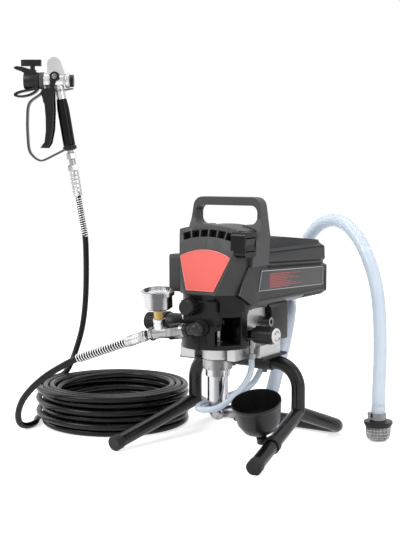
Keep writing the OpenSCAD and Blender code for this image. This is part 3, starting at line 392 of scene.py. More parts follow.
def strainer():
    """Wire basket, black flange and clamped neck on the end of the siphon hose."""
    hose_end = Vector(SIPHON[-1])
    foot = Vector((hose_end.x, hose_end.y, 0))
    bowl = [(0.7, 0), (0.7, 9), (1.4, 14), (3.4, 17.6), (6.5, 20), (11, 21.6), (17, 22.4),
            (23, 22.8), (30, 22.9)]
    folds = [(s, r, 0.08 * min(r, 14)) for s, r in bowl]
    basket = turned_piece("strainer_mesh", "base", foot, UP, folds, 52, 9, ["strainer"], 80)
    wires = basket.modifiers.new("wires", "WIREFRAME")
    wires.thickness = 0.0011
    wires.use_even_offset = False
    # A dark solid inside the wire basket paints the shade seen through the mesh
    liner = turned_piece("strainer_liner", "base", foot, UP,
                         [(s + 1.2, max(0, r - 2.6)) for s, r in bowl], 44, crisp=80)
    flange = turned_piece("strainer_flange", "base", foot, UP, rounded(
        [(28, 0), (28, 24.2), (32, 24.2), (32, 26.4), (37.6, 26.4), (37.6, 17), (40, 15),
         (40, 0)], 0.6))
    top = hose_end.z + 1
    neck = turned_piece("strainer_neck", "base", foot, UP, rounded(
        [(39, 0), (39, 12.6), (44, 13.4), (60, 13.2), (top, 12.6), (top, 0)], 0.5))
    band = clamp("strainer_clamp", foot + 48 * UP, UP, 14.2, Vector((-0.9, -0.44, 0)))
    return [basket, liner, flange, neck] + band


def clamp(name, centre, way, radius, towards):
    """Worm-drive hose clamp: plain band, screw housing and screw."""
    way, towards = unit(way), unit(towards)
    across = way.cross(towards)
    half, inside, outside = 4.5, radius - 1, radius + 0.2
    band = turned_piece(name, "base", centre, way, rounded(
        [(-half, inside), (-half, outside), (half, outside), (half, inside)], 0.15), 48)
    spot = centre + (radius + 2.2) * towards
    lid = [spot + u * across + v * towards for u, v in (
        (-6, -2.4), (6, -2.4), (6, 1), (4.6, 2.6), (-4.6, 2.6), (-6, 1))]
    box = slab(name + "_housing", "base", [p - 5.2 * way for p in lid], 10.4 * way, 0.7)
    screw = turned_piece(name + "_screw", "base", spot - 10 * across, across, rounded(
        [(0, 0), (0, 3.4), (3.4, 3.4), (3.4, 2.4), (18, 2.4), (18, 0)], 0.4), 24)
    return [band, box, screw]


def hexagon(name, centre, way, near, far, radius, bore, cut):
    """A nut from near to far along way, its two ends chamfered by cut."""
    rim, flat = radius - cut[0], cut[1]
    return turned_piece(name, "base", centre, way, [
        (near, bore), (near, rim), (near + flat, radius), (far - flat, radius), (far, rim),
        (far, bore)], 6)


def lay_pressure_hose():
    """The hose from the tee's ferrule through the coil to the gun, with its fittings."""
    line = whole_hose()
    hose = bead("pressure_hose", "base", eased(line, 3), HOSE_D)
    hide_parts("hose_supply", "hose_coil", "hose_gun")
    lane = turned(LANE)
    grip_end = gun_spot(*(GRIP_TOP + GRIP_L * LANE))
    gun_end = grip_end + (UNION_L + SLEEVE_L) * lane
    fittings = [
        wire_spring("bend_spring_machine", FERRULE_END + GAP * HOSE_WAY, HOSE_WAY, 20, SPRING_1,
                    "supply_spring"),
        wire_spring("bend_spring_gun", gun_end + GAP * lane, lane, 18, SPRING_2, "gun_spring"),
        ferrule("machine_ferrule", TEE_END + 7.2 * HOSE_WAY, HOSE_WAY, 46.6, ["supply_ferrule"]),
        ferrule("gun_end_ferrule", grip_end + UNION_L * lane, lane, SLEEVE_L, ["gun_ferrule"]),
        hexagon("machine_hexagon", TEE_END + 11 * HOSE_WAY, HOSE_WAY, 0, 10.4, 11.5, 8, (1.5, 1.4)),
        hexagon("gun_union", grip_end, lane, 5, 19, 10.3, 6, (1.6, 1.3)),
        hexagon("gun_hexagon", grip_end, lane, 31, 43, 11.9, 6, (1.6, 1.3)),
        turned_piece("gun_nipple", "base", grip_end, lane, rounded(
            [(0.4, 0), (0.4, 6.4), (19.5, 6.4), (19.5, 7), (30.5, 7), (30.5, 0)], 0.3), 32)]
    length_of(line) / 1000


def lay_siphon_hose():
    """The clear hose from the pump's inlet over the back to the strainer."""
    line = eased(SIPHON, 6)
    hose = bead("siphon_line", "base", line, SIPHON_D, smooth=7)
    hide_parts("siphon_hose")
    start, along = Vector(SIPHON[0]), unit(Vector(SIPHON[1]) - Vector(SIPHON[0]))
    inlet = clamp("inlet_clamp", start + 6 * along, along, SIPHON_D / 2 + 1.1, -UP)
    length_of(line) / 1000
    strainer() + inlet


def lay_drain_hose():
    """The thin clear hose from the prime valve round the pump."""
    line = eased(DRAIN, 6)
    hose = bead("drain_line", "base", line, DRAIN_D, smooth=5)
    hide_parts("drain_hose")
    length_of(line) / 1000


lay_pressure_hose()
lay_siphon_hose()
lay_drain_hose()


# ---- Finishes ----

class Wire:
    """One output of a finish's nodes, so that sums on it add their Math nodes."""

    def __init__(self, finish, socket):
        self.finish, self.socket = finish, socket

    def __add__(self, other):
        return self.finish.maths("ADD", self, other)

    def __radd__(self, other):
        return self.finish.maths("ADD", other, self)

    def __sub__(self, other):
        return self.finish.maths("SUBTRACT", self, other)

    def __rmul__(self, other):
        return self.finish.maths("MULTIPLY", other, self)


def shade(color, times, plus=0.0):
    """The colour made lighter or darker."""
    return tuple(c * times + plus for c in color)


class Finish:
    """A material built round one Principled shader."""

    def __init__(self, name, color, **constants):
        self.material = bpy.data.materials.new(name)
        self.material.use_nodes = True
        self.tree = self.material.node_tree
        self.shader = self.tree.nodes["Principled BSDF"]
        self.shader.inputs["Base Color"].default_value = (*color, 1)
        for socket, value in constants.items():
            self.shader.inputs[socket.replace("_", " ")].default_value = value
        self.place = self.add("ShaderNodeTexCoord", out="Object")

    def add(self, kind, settings=None, sockets=None, out=0):
        """A node with its settings and its inputs, which are values or wires."""
        node = self.tree.nodes.new(kind)
        for key, value in (settings or {}).items():
            setattr(node, key, value)
        for key, value in (sockets or {}).items():
            self.fill(node.inputs[key], value)
        return Wire(self, node.outputs[out])

    def fill(self, socket, value):
        if isinstance(value, Wire):
            self.tree.links.new(value.socket, socket)
        else:
            socket.default_value = value

    def maths(self, operation, a, b):
        return self.add("ShaderNodeMath", {"operation": operation}, {0: a, 1: b})

    def noise(self, scale, detail=3.0, rough=0.5, stretch=None):
        """Cloudy values round 0.5; a stretch under 1 draws them out along that axis."""
        where = self.place
        if stretch:
            where = self.add("ShaderNodeMapping", None, {"Vector": where, "Scale": stretch})
        return self.add("ShaderNodeTexNoise", None,
                        {"Vector": where, "Scale": scale, "Detail": detail, "Roughness": rough},
                        out="Fac")

    def ramp(self, value, low, high):
        """0 where value is at most low, 1 where it is at least high."""
        wire = self.add("ShaderNodeValToRGB", None, {"Fac": value})
        stops = wire.socket.node.color_ramp.elements
        stops[0].position, stops[1].position = low, high
        return wire

    def blend(self, share, a, b):
        """Colour a where share is 0, b where it is 1; each is a colour or a wire."""
        node = self.tree.nodes.new("ShaderNodeMix")
        node.data_type = "RGBA"
        share_in, a_in, b_in = (node.inputs[i] for i in (0, 6, 7))
        self.fill(share_in, share)
        for socket, value in ((a_in, a), (b_in, b)):
            self.fill(socket, (*value, 1) if isinstance(value, tuple) else value)
        return Wire(self, node.outputs[2])

    def round_axis(self, centre, count, turn):
        """Waves from -1 to 1, count of them round an upright axis; turn puts a crest there."""
        away = self.add("ShaderNodeVectorMath", {"operation": "SUBTRACT"},
                        {0: self.place, 1: centre})
        x = self.add("ShaderNodeSeparateXYZ", None, {0: away})
        y = Wire(self, x.socket.node.outputs[1])
        angle = self.maths("ARCTAN2", y, x)
        return self.maths("COSINE", count * (angle - turn), 0.0)

    def feed(self, socket, wire):
        self.fill(self.shader.inputs[socket], wire)
        return self

    def relief(self, height, depth, strength=1.0, round_edge=None):
        """Bumps of the given depth in metres, over an edge rounding."""
        sockets = {"Height": height, "Distance": depth, "Strength": strength}
        if round_edge:
            sockets["Normal"] = self.add("ShaderNodeBevel", {"samples": 4},
                                         {"Radius": round_edge})
        return self.feed("Normal", self.add("ShaderNodeBump", None, sockets))


# In each kind of finish, edge is the radius in metres by which its look rounds the edges.

def coated_steel(name, color, roughness=0.42, edge=0.0006, shine=0.3):
    """Powder coat or lacquer: fine orange peel and a little dust."""
    f = Finish(name, color, Specular_IOR_Level=shine)
    peel = f.noise(900, 2)
    dust = f.noise(22, 5, 0.6)
    f.feed("Roughness", roughness + 0.16 * (dust - 0.5) + 0.05 * peel)
    f.feed("Base Color", f.blend(f.ramp(dust, 0.35, 0.8), color, shade(color, 1.35, 0.004)))
    return f.relief(peel, 0.00006, 0.6, edge).material


def moulded(name, color, roughness=0.5, grain=1400, depth=0.00007, edge=0.0008):
    """Moulded plastic with a spark-eroded grain."""
    f = Finish(name, color, Specular_IOR_Level=0.26)
    spark = f.noise(grain, 2, 0.6)
    hand = f.noise(15, 4, 0.6)
    f.feed("Roughness", roughness + 0.2 * (hand - 0.5) + 0.1 * (spark - 0.5))
    f.feed("Base Color", f.blend(hand, shade(color, 0.85), shade(color, 1.2, 0.002)))
    return f.relief(spark, depth, 0.7, edge).material


def glossy(name, color, roughness=0.22, edge=0.0008, coat=0.3, shine=0.5):
    """Smooth plastic or lacquer with faint rubbing marks."""
    f = Finish(name, color, Specular_IOR_Level=shine, Coat_Roughness=0.08)
    rub = f.noise(60, 6, 0.7, stretch=(1, 6, 1))
    cloud = f.noise(9, 3)
    f.feed("Roughness", roughness + 0.14 * (rub - 0.4))
    f.feed("Coat Weight", coat + 0.2 * (cloud - 0.5))
    f.feed("Base Color", f.blend(cloud, shade(color, 0.9), shade(color, 1.12)))
    return f.relief(f.noise(140, 2), 0.00004, 0.3, edge).material


def cast_metal(name, color, roughness=0.42):
    """Bare die-cast alloy: fine sand grain and grey clouding."""
    f = Finish(name, color, Metallic=1.0)
    sand = f.noise(700, 4, 0.7)
    cloud = f.noise(26, 5, 0.6)
    f.feed("Roughness", roughness + 0.22 * (cloud - 0.5) + 0.12 * (sand - 0.5))
    f.feed("Base Color", f.blend(cloud, shade(color, 0.82), shade(color, 1.12)))
    return f.relief(sand, 0.00012, 0.6, 0.0012).material


def turned_metal(name, color, roughness=0.22, lines=900, axis=(1, 1, 1),
                 reflection_streaks=0.0, along=(1, 1, 0.02), axis_at=None):
    """Machined metal with fine tool lines.

    The last three arguments paint dark reflection bands into its colour, in place of
    what the metal mirrors: how dark they are, and whether they follow along or stand
    round the upright axis at axis_at.
    """
    f = Finish(name, color, Metallic=1.0)
    lathe = f.noise(lines, 2, 0.5, stretch=axis)
    smear = f.noise(40, 4, 0.6)
    f.feed("Roughness", roughness + 0.14 * (smear - 0.5) + 0.08 * (lathe - 0.5))
    bright = f.blend(smear, shade(color, 0.88), shade(color, 1.08))
    if reflection_streaks:
        # The noise and bands below paint dark reflections into the metal's colour
        grain = f.noise(62, 2, 0.5, stretch=along)
        if axis_at:
            grain = 0.35 + 0.12 * f.round_axis(axis_at, 3, REFLECTION_BAND_TURN) + 0.24 * grain
        band = f.add("ShaderNodeMapRange", None, {
            "Value": grain, "From Min": 0.46 if axis_at else 0.42, "From Max": 0.58})
        bright = f.blend(reflection_streaks * band, bright, shade(color, 0.06))
    f.feed("Base Color", bright)
    return f.relief(lathe, 0.00003, 0.4, 0.0005).material


def rubber(name, color, roughness=0.62, sheen=0.1):
    """Soft black rubber with paler scuffs."""
    f = Finish(name, color, Specular_IOR_Level=0.22, Sheen_Weight=sheen)
    fine = f.noise(1100, 3, 0.6)
    scuff = f.noise(35, 5, 0.65)
    f.feed("Roughness", roughness + 0.2 * (scuff - 0.5))
    f.feed("Base Color", f.blend(f.ramp(scuff, 0.45, 0.85), color, shade(color, 1.6, 0.008)))
    return f.relief(fine, 0.00005, 0.5, 0.0006).material


def clear_hose(name, color):
    """Milky see-through PVC, brighter where it is clean."""
    f = Finish(name, color, IOR=1.35, Transmission_Weight=0.35, Specular_IOR_Level=0.6)
    film = f.noise(30, 4, 0.6)
    f.feed("Roughness", 0.12 + 0.14 * film)
    clean = tuple(min(1, c) for c in shade(color, 1.06))
    f.feed("Base Color", f.blend(film, shade(color, 0.93), clean))
    return f.relief(f.noise(55, 2), 0.0002, 0.2).material


def glass(name):
    """Clear glass with a faint film."""
    f = Finish(name, (0.95, 0.98, 1.0), IOR=1.45, Transmission_Weight=1.0)
    f.feed("Roughness", 0.02 + 0.03 * f.noise(50, 3))
    return f.material


REFLECTION_BAND_TURN = math.radians(-57)       # where round an upright axis the painted dark reflection band stands
# Axes round which the collar's, cylinder's and gauge case's painted reflection bands stand
PUMP_AXIS = tuple(at(0, 0, 100))
GAUGE_AXIS = tuple(at(*(TEE + Vector((3, -7, 55)))))
# The metals' streaks are painted dark reflection bands in their colour
FINISHES = {
    "tube": coated_steel("black_tube_coat", (0.006, 0.006, 0.007), 0.24),
    "sleeve": coated_steel("sleeve_coat", (0.025, 0.025, 0.027), 0.4),
    "plate": coated_steel("base_plate_coat", (0.014, 0.014, 0.015), 0.45),
    "cap": rubber("foot_cap_rubber", (0.012, 0.012, 0.013)),
    "bolt": turned_metal("zinc_plated", (0.26, 0.26, 0.27), 0.26, reflection_streaks=0.5),
    "cup": moulded("cup_polypropylene", (0.006, 0.006, 0.007), 0.34, 700),
    "casting": cast_metal("bare_casting", (0.5, 0.5, 0.495)),
    "collar": turned_metal("clamp_collar_alloy", (0.4, 0.4, 0.4), 0.34, 700, reflection_streaks=0.7,
                           axis_at=PUMP_AXIS),
    "cylinder": turned_metal("polished_cylinder", (0.52, 0.52, 0.54), 0.14, 1200,
                             axis=(0.02, 0.02, 1), reflection_streaks=0.95, axis_at=PUMP_AXIS),
    "valve": turned_metal("inlet_valve_steel", (0.34, 0.34, 0.36), 0.26, reflection_streaks=0.7),
    # The chromed rod is coloured dark grey as painted shade, for the dark housing round it
    "rod": turned_metal("hard_chromed_rod", (0.24, 0.24, 0.26), 0.16),
    "forged": turned_metal("forged_steel", (0.32, 0.32, 0.34), 0.34),
    "brass": turned_metal("turned_brass", (0.5, 0.34, 0.14), 0.24, reflection_streaks=0.4),
    "housing": coated_steel("housing_lacquer", (0.008, 0.008, 0.009), 0.24, 0.0012, shine=0.16),
    "cover": moulded("cover_plastic", (0.045, 0.045, 0.046), 0.42, 1300, 0.00006, 0.001),
    "shroud": moulded("shroud_plastic", (0.021, 0.021, 0.022), 0.36, 1300, 0.00005, 0.001),
    "handle": moulded("handle_plastic", (0.06, 0.06, 0.062), 0.38, 1100, 0.00008, 0.001),
    "grille": moulded("grille_plastic", (0.014, 0.014, 0.015), 0.5),
    "switch": glossy("switch_plastic", (0.003, 0.003, 0.004), 0.2, coat=0.12, shine=0.16),
    "red": glossy("red_panel", (0.78, 0.085, 0.062), 0.34, 0.0004),
    # The plate's rim is a lighter red: a painted edge highlight
    "red_rim_highlight": glossy("red_panel_rim_highlight", (0.9, 0.28, 0.24), 0.3, 0.0002),
    "rim": glossy("panel_rim", (0.62, 0.62, 0.63), 0.34, 0.0002),
    "panel": glossy("side_panel", (0.014, 0.014, 0.015), 0.3, 0.0003, 0.1),
    "stripe": glossy("red_stripe", (0.42, 0.028, 0.024), 0.34, 0.0002),
    "gap": moulded("shadow_gap", (0.004, 0.004, 0.004), 0.7),
    "filter": coated_steel("filter_coat", (0.012, 0.012, 0.013), 0.3),
    "knob": moulded("knob_plastic", (0.009, 0.009, 0.01), 0.4, 1300, 0.00007, 0.0006),
    "mark": moulded("printed_black", (0.02, 0.02, 0.02), 0.6),
    "mark_red": moulded("printed_red", (0.6, 0.03, 0.02), 0.6),
    "white": moulded("white_disc", (0.8, 0.8, 0.79), 0.4, 900, 0.00003),
    "nut": turned_metal("nickel_plated_nut", (0.3, 0.3, 0.31), 0.2, reflection_streaks=0.5),
    "tee": turned_metal("bright_plated_tee", (0.58, 0.58, 0.59), 0.2, reflection_streaks=0.5,
                        along=(0.02, 1, 1)),
    "case": turned_metal("gauge_case_steel", (0.5, 0.5, 0.51), 0.2, reflection_streaks=0.85,
                         axis_at=GAUGE_AXIS),
    "dial": moulded("dial_card", (0.86, 0.86, 0.84), 0.6, 400, 0.00002),
    "needle": glossy("needle_lacquer", (0.012, 0.012, 0.012)),
    "lens": glass("gauge_glass"),
    "wire": turned_metal("spring_wire", (0.76, 0.76, 0.77), 0.22),
    "bright": turned_metal("bright_plated_fitting", (0.6, 0.6, 0.61), 0.26, reflection_streaks=0.42),
    "hose": rubber("hose_cover", (0.004, 0.004, 0.0045), 0.26, 0.0),
    "clear": clear_hose("clear_pvc", (0.78, 0.87, 1.0)),
    "basket": turned_metal("mesh_wire", (0.62, 0.62, 0.62), 0.24),
    # Dark core inside the strainer's mesh: painted shade
    "liner": cast_metal("mesh_painted_shade_liner", (0.13, 0.13, 0.13), 0.5),
    "gun": cast_metal("gun_alloy", (0.6, 0.6, 0.61), 0.24),
    "gun_black": moulded("gun_plastic", (0.007, 0.007, 0.008), 0.32),
    "strap": moulded("guard_strap_coat", (0.062, 0.062, 0.063), 0.4),
    "grip": coated_steel("grip_coat", (0.003, 0.003, 0.0035), 0.16, shine=0.14),
    "trigger": coated_steel("trigger_coat", (0.007, 0.007, 0.008), 0.22, shine=0.24),
}

# ---- Softened edges ----

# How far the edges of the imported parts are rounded, in millimetres
SOFTENED = {
    "front_cover": 2.0, "carry_handle": 3.2, "motor_shroud": 1.6, "control_box": 1.8,
    "switch_box": 1.8, "power_switch": 0.6, "gear_housing": 1.2, "pump_casting": 1.6,
    "filter_housing": 1.0, "base_plate": 0.8, "cup_bracket": 0.8, "drip_cup": 0.8,
    "gun_body": 2.4, "gun_end_cap": 0.8, "gun_handle": 1.6, "gun_trigger": 1.0,
    "spray_tip": 0.8, "trigger_lock": 0.5, "prime_valve": 0.6,
    "pump_collar": 1.2, "inlet_valve": 0.8, "front_plate": 0.35, "outlet_tee": 0.5,
    "swivel_nut": 0.6, "sensor_plug": 0.5, "outlet_elbow": 0.7, "tube_sleeves": 0.8,
    "foot_caps": 0.8, "cord_gland": 0.5, "packing_nut": 0.5, "pressure_knob": 0.35,
    "filter_cap": 0.35, "prime_knob": 0.35, "rear_grille": 0.4, "gauge_stem": 0.5,
}


def soften(name, width, reshape=None, keep=None):
    """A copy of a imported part, or of what keep says of it, with rounded edges."""
    source = NODES[name]
    mesh = source.data.copy()
    bm = bmesh.new()
    bm.from_mesh(mesh)
    bmesh.ops.remove_doubles(bm, verts=bm.verts, dist=MERGE)
    bmesh.ops.dissolve_limit(bm, angle_limit=math.radians(1), verts=bm.verts, edges=bm.edges)
    if keep:
        left_out = [v for v in bm.verts if not keep(v.co * 1000 + ORIGIN)]
        bmesh.ops.delete(bm, geom=left_out, context="VERTS")
    if reshape:
        for v in bm.verts:
            v.co = at(*reshape(v.co * 1000 + ORIGIN))
    bm.to_mesh(mesh)
    bm.free()
    keep_creases(mesh, SHARP)
    PIECES[name] = add_piece(name + "_finished", mesh, source["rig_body"], [name])
    round_edges(PIECES[name], width)


def raised_groove(p):
    """The groove along the shroud's sides climbs towards the front."""
    low, high, front, length = 304, 322, 52, 238
    if low < p.z < high and p.y > front - 2:
        p.z += 17 - 10.5 * (p.y - front) / length
    return p


# Where the front and rear feet meet under the cross tube, on the right side
FOOT_TOP = Vector((111, 97, 60))


def in_front(p):
    """True for points before the stand's cross tube."""
    return p.y < FOOT_TOP.y


for name, width in SOFTENED.items():
    soften(name, width, raised_groove if name == "motor_shroud" else None,
           in_front if name == "foot_caps" else None)


# ---- Details of the upper body ----

FACE_AT, FACE_LEAN = (-61, 283), math.radians(16)    # foot of the cover's face: y and z
PLATE_HALF, PLATE_FOOT_HALF = 51.5, 28               # half the red plate's width, top and foot
PLATE_FOOT, PLATE_MIDDLE, PLATE_R = 289, 255, 108    # height of its foot; its upper arc
PANEL_X, PANEL_T = 70.0, 0.7                         # the side panel's back, and thickness
# Near-black strips along the shroud's sides paint the shadow under its lid
SHADOW_STRIP_X, SHADOW_STRIP_FROM, SHADOW_STRIP_TO = 65.6, 58, 284
STRIPES, STRIPE_FROM, STRIPE_FALL = 9, 62, 0.042


def on_face(x, out, z):
    """A point on the cover's leaning face, out millimetres in front of it."""
    y0, z0 = FACE_AT
    c, s = math.cos(FACE_LEAN), math.sin(FACE_LEAN)
    return Vector((x, y0 - out * c + (z - z0) * s, z0 + out * s + (z - z0) * c))


def plate_outline(inset, out):
    """Points round the red plate, inset from its edge."""
    radius, low = PLATE_R - inset, PLATE_FOOT_HALF - inset * 0.85
    arc = math.asin((PLATE_HALF - inset) / radius)
    points = [on_face(-low, out, PLATE_FOOT + inset), on_face(low, out, PLATE_FOOT + inset)]
    for i in range(17):
        a = arc * (1 - i / 8)
        points.append(on_face(radius * math.sin(a), out, PLATE_MIDDLE + radius * math.cos(a)))
    return points


def dress_front():
    """The red plate's raised rim, coloured a lighter red as a painted highlight on the plate's edge,
    and the thin line inside it.
    """
    bead("plate_rim", "base", plate_outline(0.9, 1.15), 1.3, closed=True)
    bead("plate_line", "base", plate_outline(4.5, 0.98), 0.35, closed=True)


def dress_shroud():
    """Near-black strips under the shroud's lid that paint its shadow, and the side panel with its rim
    and stripes.
    """
    for side, name in ((-1, "left"), (1, "right")):
        slab("shroud_ledge_" + name, "base", [(side * SHADOW_STRIP_X, y, z) for y, z in (
            (SHADOW_STRIP_FROM, 352.0), (SHADOW_STRIP_TO, 350.6), (SHADOW_STRIP_TO, 348.0), (SHADOW_STRIP_FROM, 349.0))],
            (side * 0.9, 0, 0), 0.2)
    slab("side_panel", "base", [(PANEL_X, y, z) for y, z in (
        (31.5, 321.4), (272.5, 311.4), (272.5, 275.4), (20.5, 284.8))], (PANEL_T, 0, 0), 0.25)
    bead("side_panel_rim", "base", [(PANEL_X + PANEL_T, y, z) for y, z in (
        (32.6, 320.4), (271.6, 310.4), (271.6, 276.4), (22, 285.8))], 1.5, closed=True)
    # Plain pinstripes of unequal length that narrow towards the rear
    for row in range(STRIPES):
        z0 = 313.6 - 2.95 * row
        reach = 118 - 9 * ((row * 5) % 7)
        end, fall = STRIPE_FROM + reach, STRIPE_FALL * reach
        slab("side_stripe_%d" % row, "base", [(PANEL_X + 0.5, y, z) for y, z in (
            (STRIPE_FROM, z0), (end, z0 - fall), (end, z0 - 0.9 - fall), (STRIPE_FROM, z0 - 1.9))],
            (0.45, 0, 0), 0.12)


dress_front()
dress_shroud()


# ---- Gauge and prime knob ----

GAUGE_TURN = (Matrix.Rotation(math.radians(3), 3, "Y") @ Matrix.Rotation(math.radians(8), 3, "X"))
CARD_UP = 70.1                  # the dial's card above the tee's axis
DIAL_FROM, DIAL_SWEEP = 225, 270
DIAL_STEPS, DIAL_NUMBERS = 40, 5
RED_FROM = 33                   # the first of the dial's red marks
TICK_R, NUMBER_R = 19.6, 11.6


def on_dial(x, y, z):
    """A point over the dial, z millimetres above the card."""
    return TEE + GAUGE_TURN @ Vector((x, y, CARD_UP + z))


def dial_way(share):
    """The direction on the dial that far through its scale."""
    a = math.radians(DIAL_FROM - DIAL_SWEEP * share)
    return Vector((math.cos(a), math.sin(a), 0))


def dress_gauge():
    """The tee's stout branch, the dial's marks and its plain numbers."""
    turned_piece("tee_branch", "base", TEE, GAUGE_TURN @ UP, rounded(
        [(5, 0), (5, 9.9), (20, 9.9), (20, 10.6), (26.5, 10.6), (26.5, 0)], 0.6), 40)
    for i in range(DIAL_STEPS + 1):
        out = dial_way(i / DIAL_STEPS)
        side = Vector((-out.y, out.x, 0))
        start, half = (15.4, 0.32) if i % 10 == 0 else (17.4 + 0.9 * (i % 5 != 0), 0.18)
        slab("dial_tick_%02d" % i, "base", [on_dial(*(r * out + s * half * side)) for r, s in (
            (start, -1), (TICK_R, -1), (TICK_R, 1), (start, 1))], GAUGE_TURN @ (0.15 * UP), 0.03)
    for i in range(DIAL_NUMBERS):
        words = bpy.data.curves.new("dial_number_%d" % i, "FONT")
        words.body = str(100 * i)
        words.size = 0.0046
        words.align_x, words.align_y = "CENTER", "CENTER"
        words.extrude = 0.00005
        number = add_piece("dial_number_%d" % i, words, "base")
        spot = on_dial(*(NUMBER_R * dial_way(i / (DIAL_NUMBERS - 1)) + 0.1 * UP))
        number.matrix_world = Matrix.Translation(at(*spot)) @ GAUGE_TURN.to_4x4()


def dress_prime():
    """The white disc on the prime knob's end, with two arrows round its middle."""
    hub = Vector((110.3, 16, 210))
    way = Vector((1, 0, 0))
    turned_piece("prime_disc", "prime", hub - 2.2 * way, way, rounded(
        [(0, 0), (0, 13.9), (2.7, 13.9), (3.3, 12.6), (3.3, 0)], 0.4), 48)
    for i, (a0, a1) in enumerate(((30, 140), (210, 320))):
        arc = [hub + Vector((1.2, 8.4 * math.cos(math.radians(a)), 8.4 * math.sin(math.radians(a))))
               for a in range(a0, a1 + 1, 10)]
        bead("prime_arrow_%d" % i, "prime", arc, 1.0)
        tip, back = arc[-1], arc[-3]
        flow = unit(tip - back)
        square = way.cross(flow)
        slab("prime_arrowhead_%d" % i, "prime", [
            tip + 3.4 * flow, tip + 2.2 * square, tip - 2.2 * square], 0.4 * way, 0.05)


dress_gauge()
dress_prime()


# ---- Gun ----

NOSE = turned((-1, 0, 0))
ACROSS_GUN = turned((0, 1, 0))


def dress_handle():
    """The guard strap from the body's front to the handle's foot, and its two seats."""
    low = GRIP_TOP.z - GRIP_L * math.cos(LEAN) + 0.6
    path = eased([gun_spot(x, 0, z) for x, z in (
        (-34, -16.5), (-40, -27), (-59.5, -41.2), (-66.2, -55), (-68, -82), (-68, -102),
        (-65.6, low + 3), (-57.5, low - 12), (-45, low - 21), (-34, low - 20.6),
        (-10, low - 9), (13, low + 2.6))], 5)
    strap("trigger_strap", "gun", path, ACROSS_GUN, 22, 3.4, ["trigger_guard"])
    ring = gun_spot(*(GRIP_TOP + (GRIP_L - 9) * LANE))
    turned_piece("strap_ring", "gun", ring, turned(LANE), rounded(
        [(0, 12.6), (0, 14.3), (7.6, 14.3), (7.6, 12.6)], 0.7))
    turned_piece("strap_saddle", "gun", gun_spot(-41, 0, 0), -NOSE, rounded(
        [(0, 16.1), (0, 17.6), (9, 17.6), (9, 16.1)], 0.6))
    for side, name in ((-1, "left"), (1, "right")):
        turned_piece("pivot_screw_" + name, "gun", gun_spot(-9, side * 18.6, 8),
                     side * ACROSS_GUN, rounded([(-1, 0), (-1, 5.4), (1.6, 5.4), (2.6, 4.2),
                                                 (2.6, 2.2), (1.2, 2.2), (1.2, 0)], 0.3), 32)


def dress_nose():
    """The tip guard's barrel and rounded wings, the tip's seat and the body's rings."""
    turned_piece("guard_barrel", "guard", gun_spot(-41.5, 0, 0), NOSE, [
        (0, 10.1), (0, 16.2), (1.2, 17.4), (7, 17.5), (8, 16.7), (10, 16.7), (11, 17.5), (29, 17.5),
        (32, 16), (32.4, 14.4), (32, 11.2), (20.6, 11.0), (20, 10.1)], stands_for=["tip_guard"])
    wing = 24
    slab("guard_wing_top", "guard", [gun_spot(x, -wing / 2, z) for x, z in (
        (-44, 14), (-50, 20.5), (-60, 23.5), (-76, 28), (-87, 29.6), (-93, 27.6), (-93.6, 25),
        (-89, 22.4), (-79, 19.4), (-71.5, 14.5), (-68, 10), (-60, 12))], wing * ACROSS_GUN, 2.6)
    loop = eased([gun_spot(x, 0, z) for x, z in (
        (-46, -13.5), (-57, -17.5), (-70, -20), (-83, -23), (-91.5, -27), (-91, -30.6),
        (-82, -32), (-70, -31), (-58, -27), (-49, -21), (-44, -14))], 5)
    strap("guard_wing_loop", "guard", loop, ACROSS_GUN, wing - 1, 4.2)
    turned_piece("cap_collar", "gun", gun_spot(11.6, 0, 0), -NOSE, rounded(
        [(0, 12), (0, 14.9), (9.4, 14.9), (9.4, 10)], 1.8))
    turned_piece("tip_seat", "guard", gun_spot(-61.5, 0, 0), NOSE, rounded(
        [(-6, 0), (-6, 7.2), (1.6, 7.2), (2.6, 5.4), (2.6, 2.6), (4.2, 1.4), (4.2, 0)], 0.3), 32)
    turned_piece("nose_ring", "gun", gun_spot(-29, 0, 0), NOSE, rounded(
        [(0, 15.8), (0, 16.7), (3, 16.7), (3, 15.8)], 0.3))


dress_handle()
dress_nose()


# ---- Stand ----

TUBE_D = 25
WELD_R = TUBE_D / 2 + 0.4
REAR_CORNER = Vector((146, 218, 12.6))
OTHER_SIDE = Vector((-1, 1, 1))


def dress_stand():
    """Weld beads where the tubes meet, and the rear feet as one rail bent round behind."""
    tops = [FOOT_TOP, FOOT_TOP * OTHER_SIDE]
    ball = [(WELD_R - WELD_R * math.cos(a), WELD_R * math.sin(a))
            for a in (math.pi / 2 * i / 8 for i in range(9))]
    plug = [(WELD_R + 27, TUBE_D / 2 - 0.1), (WELD_R + 28, 0)]
    for name, top in zip(("left", "right"), reversed(tops)):
        turned_piece("weld_" + name, "base", top - WELD_R * UP, UP, ball + plug, 40, crisp=60)
    rail = bead("rear_rail", "base", bent(
        [tops[0], REAR_CORNER, REAR_CORNER * OTHER_SIDE, tops[1]], TUBE_D), TUBE_D, smooth=7)
    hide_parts("rear_feet")


dress_stand()


# ---- Which finish each part wears ----

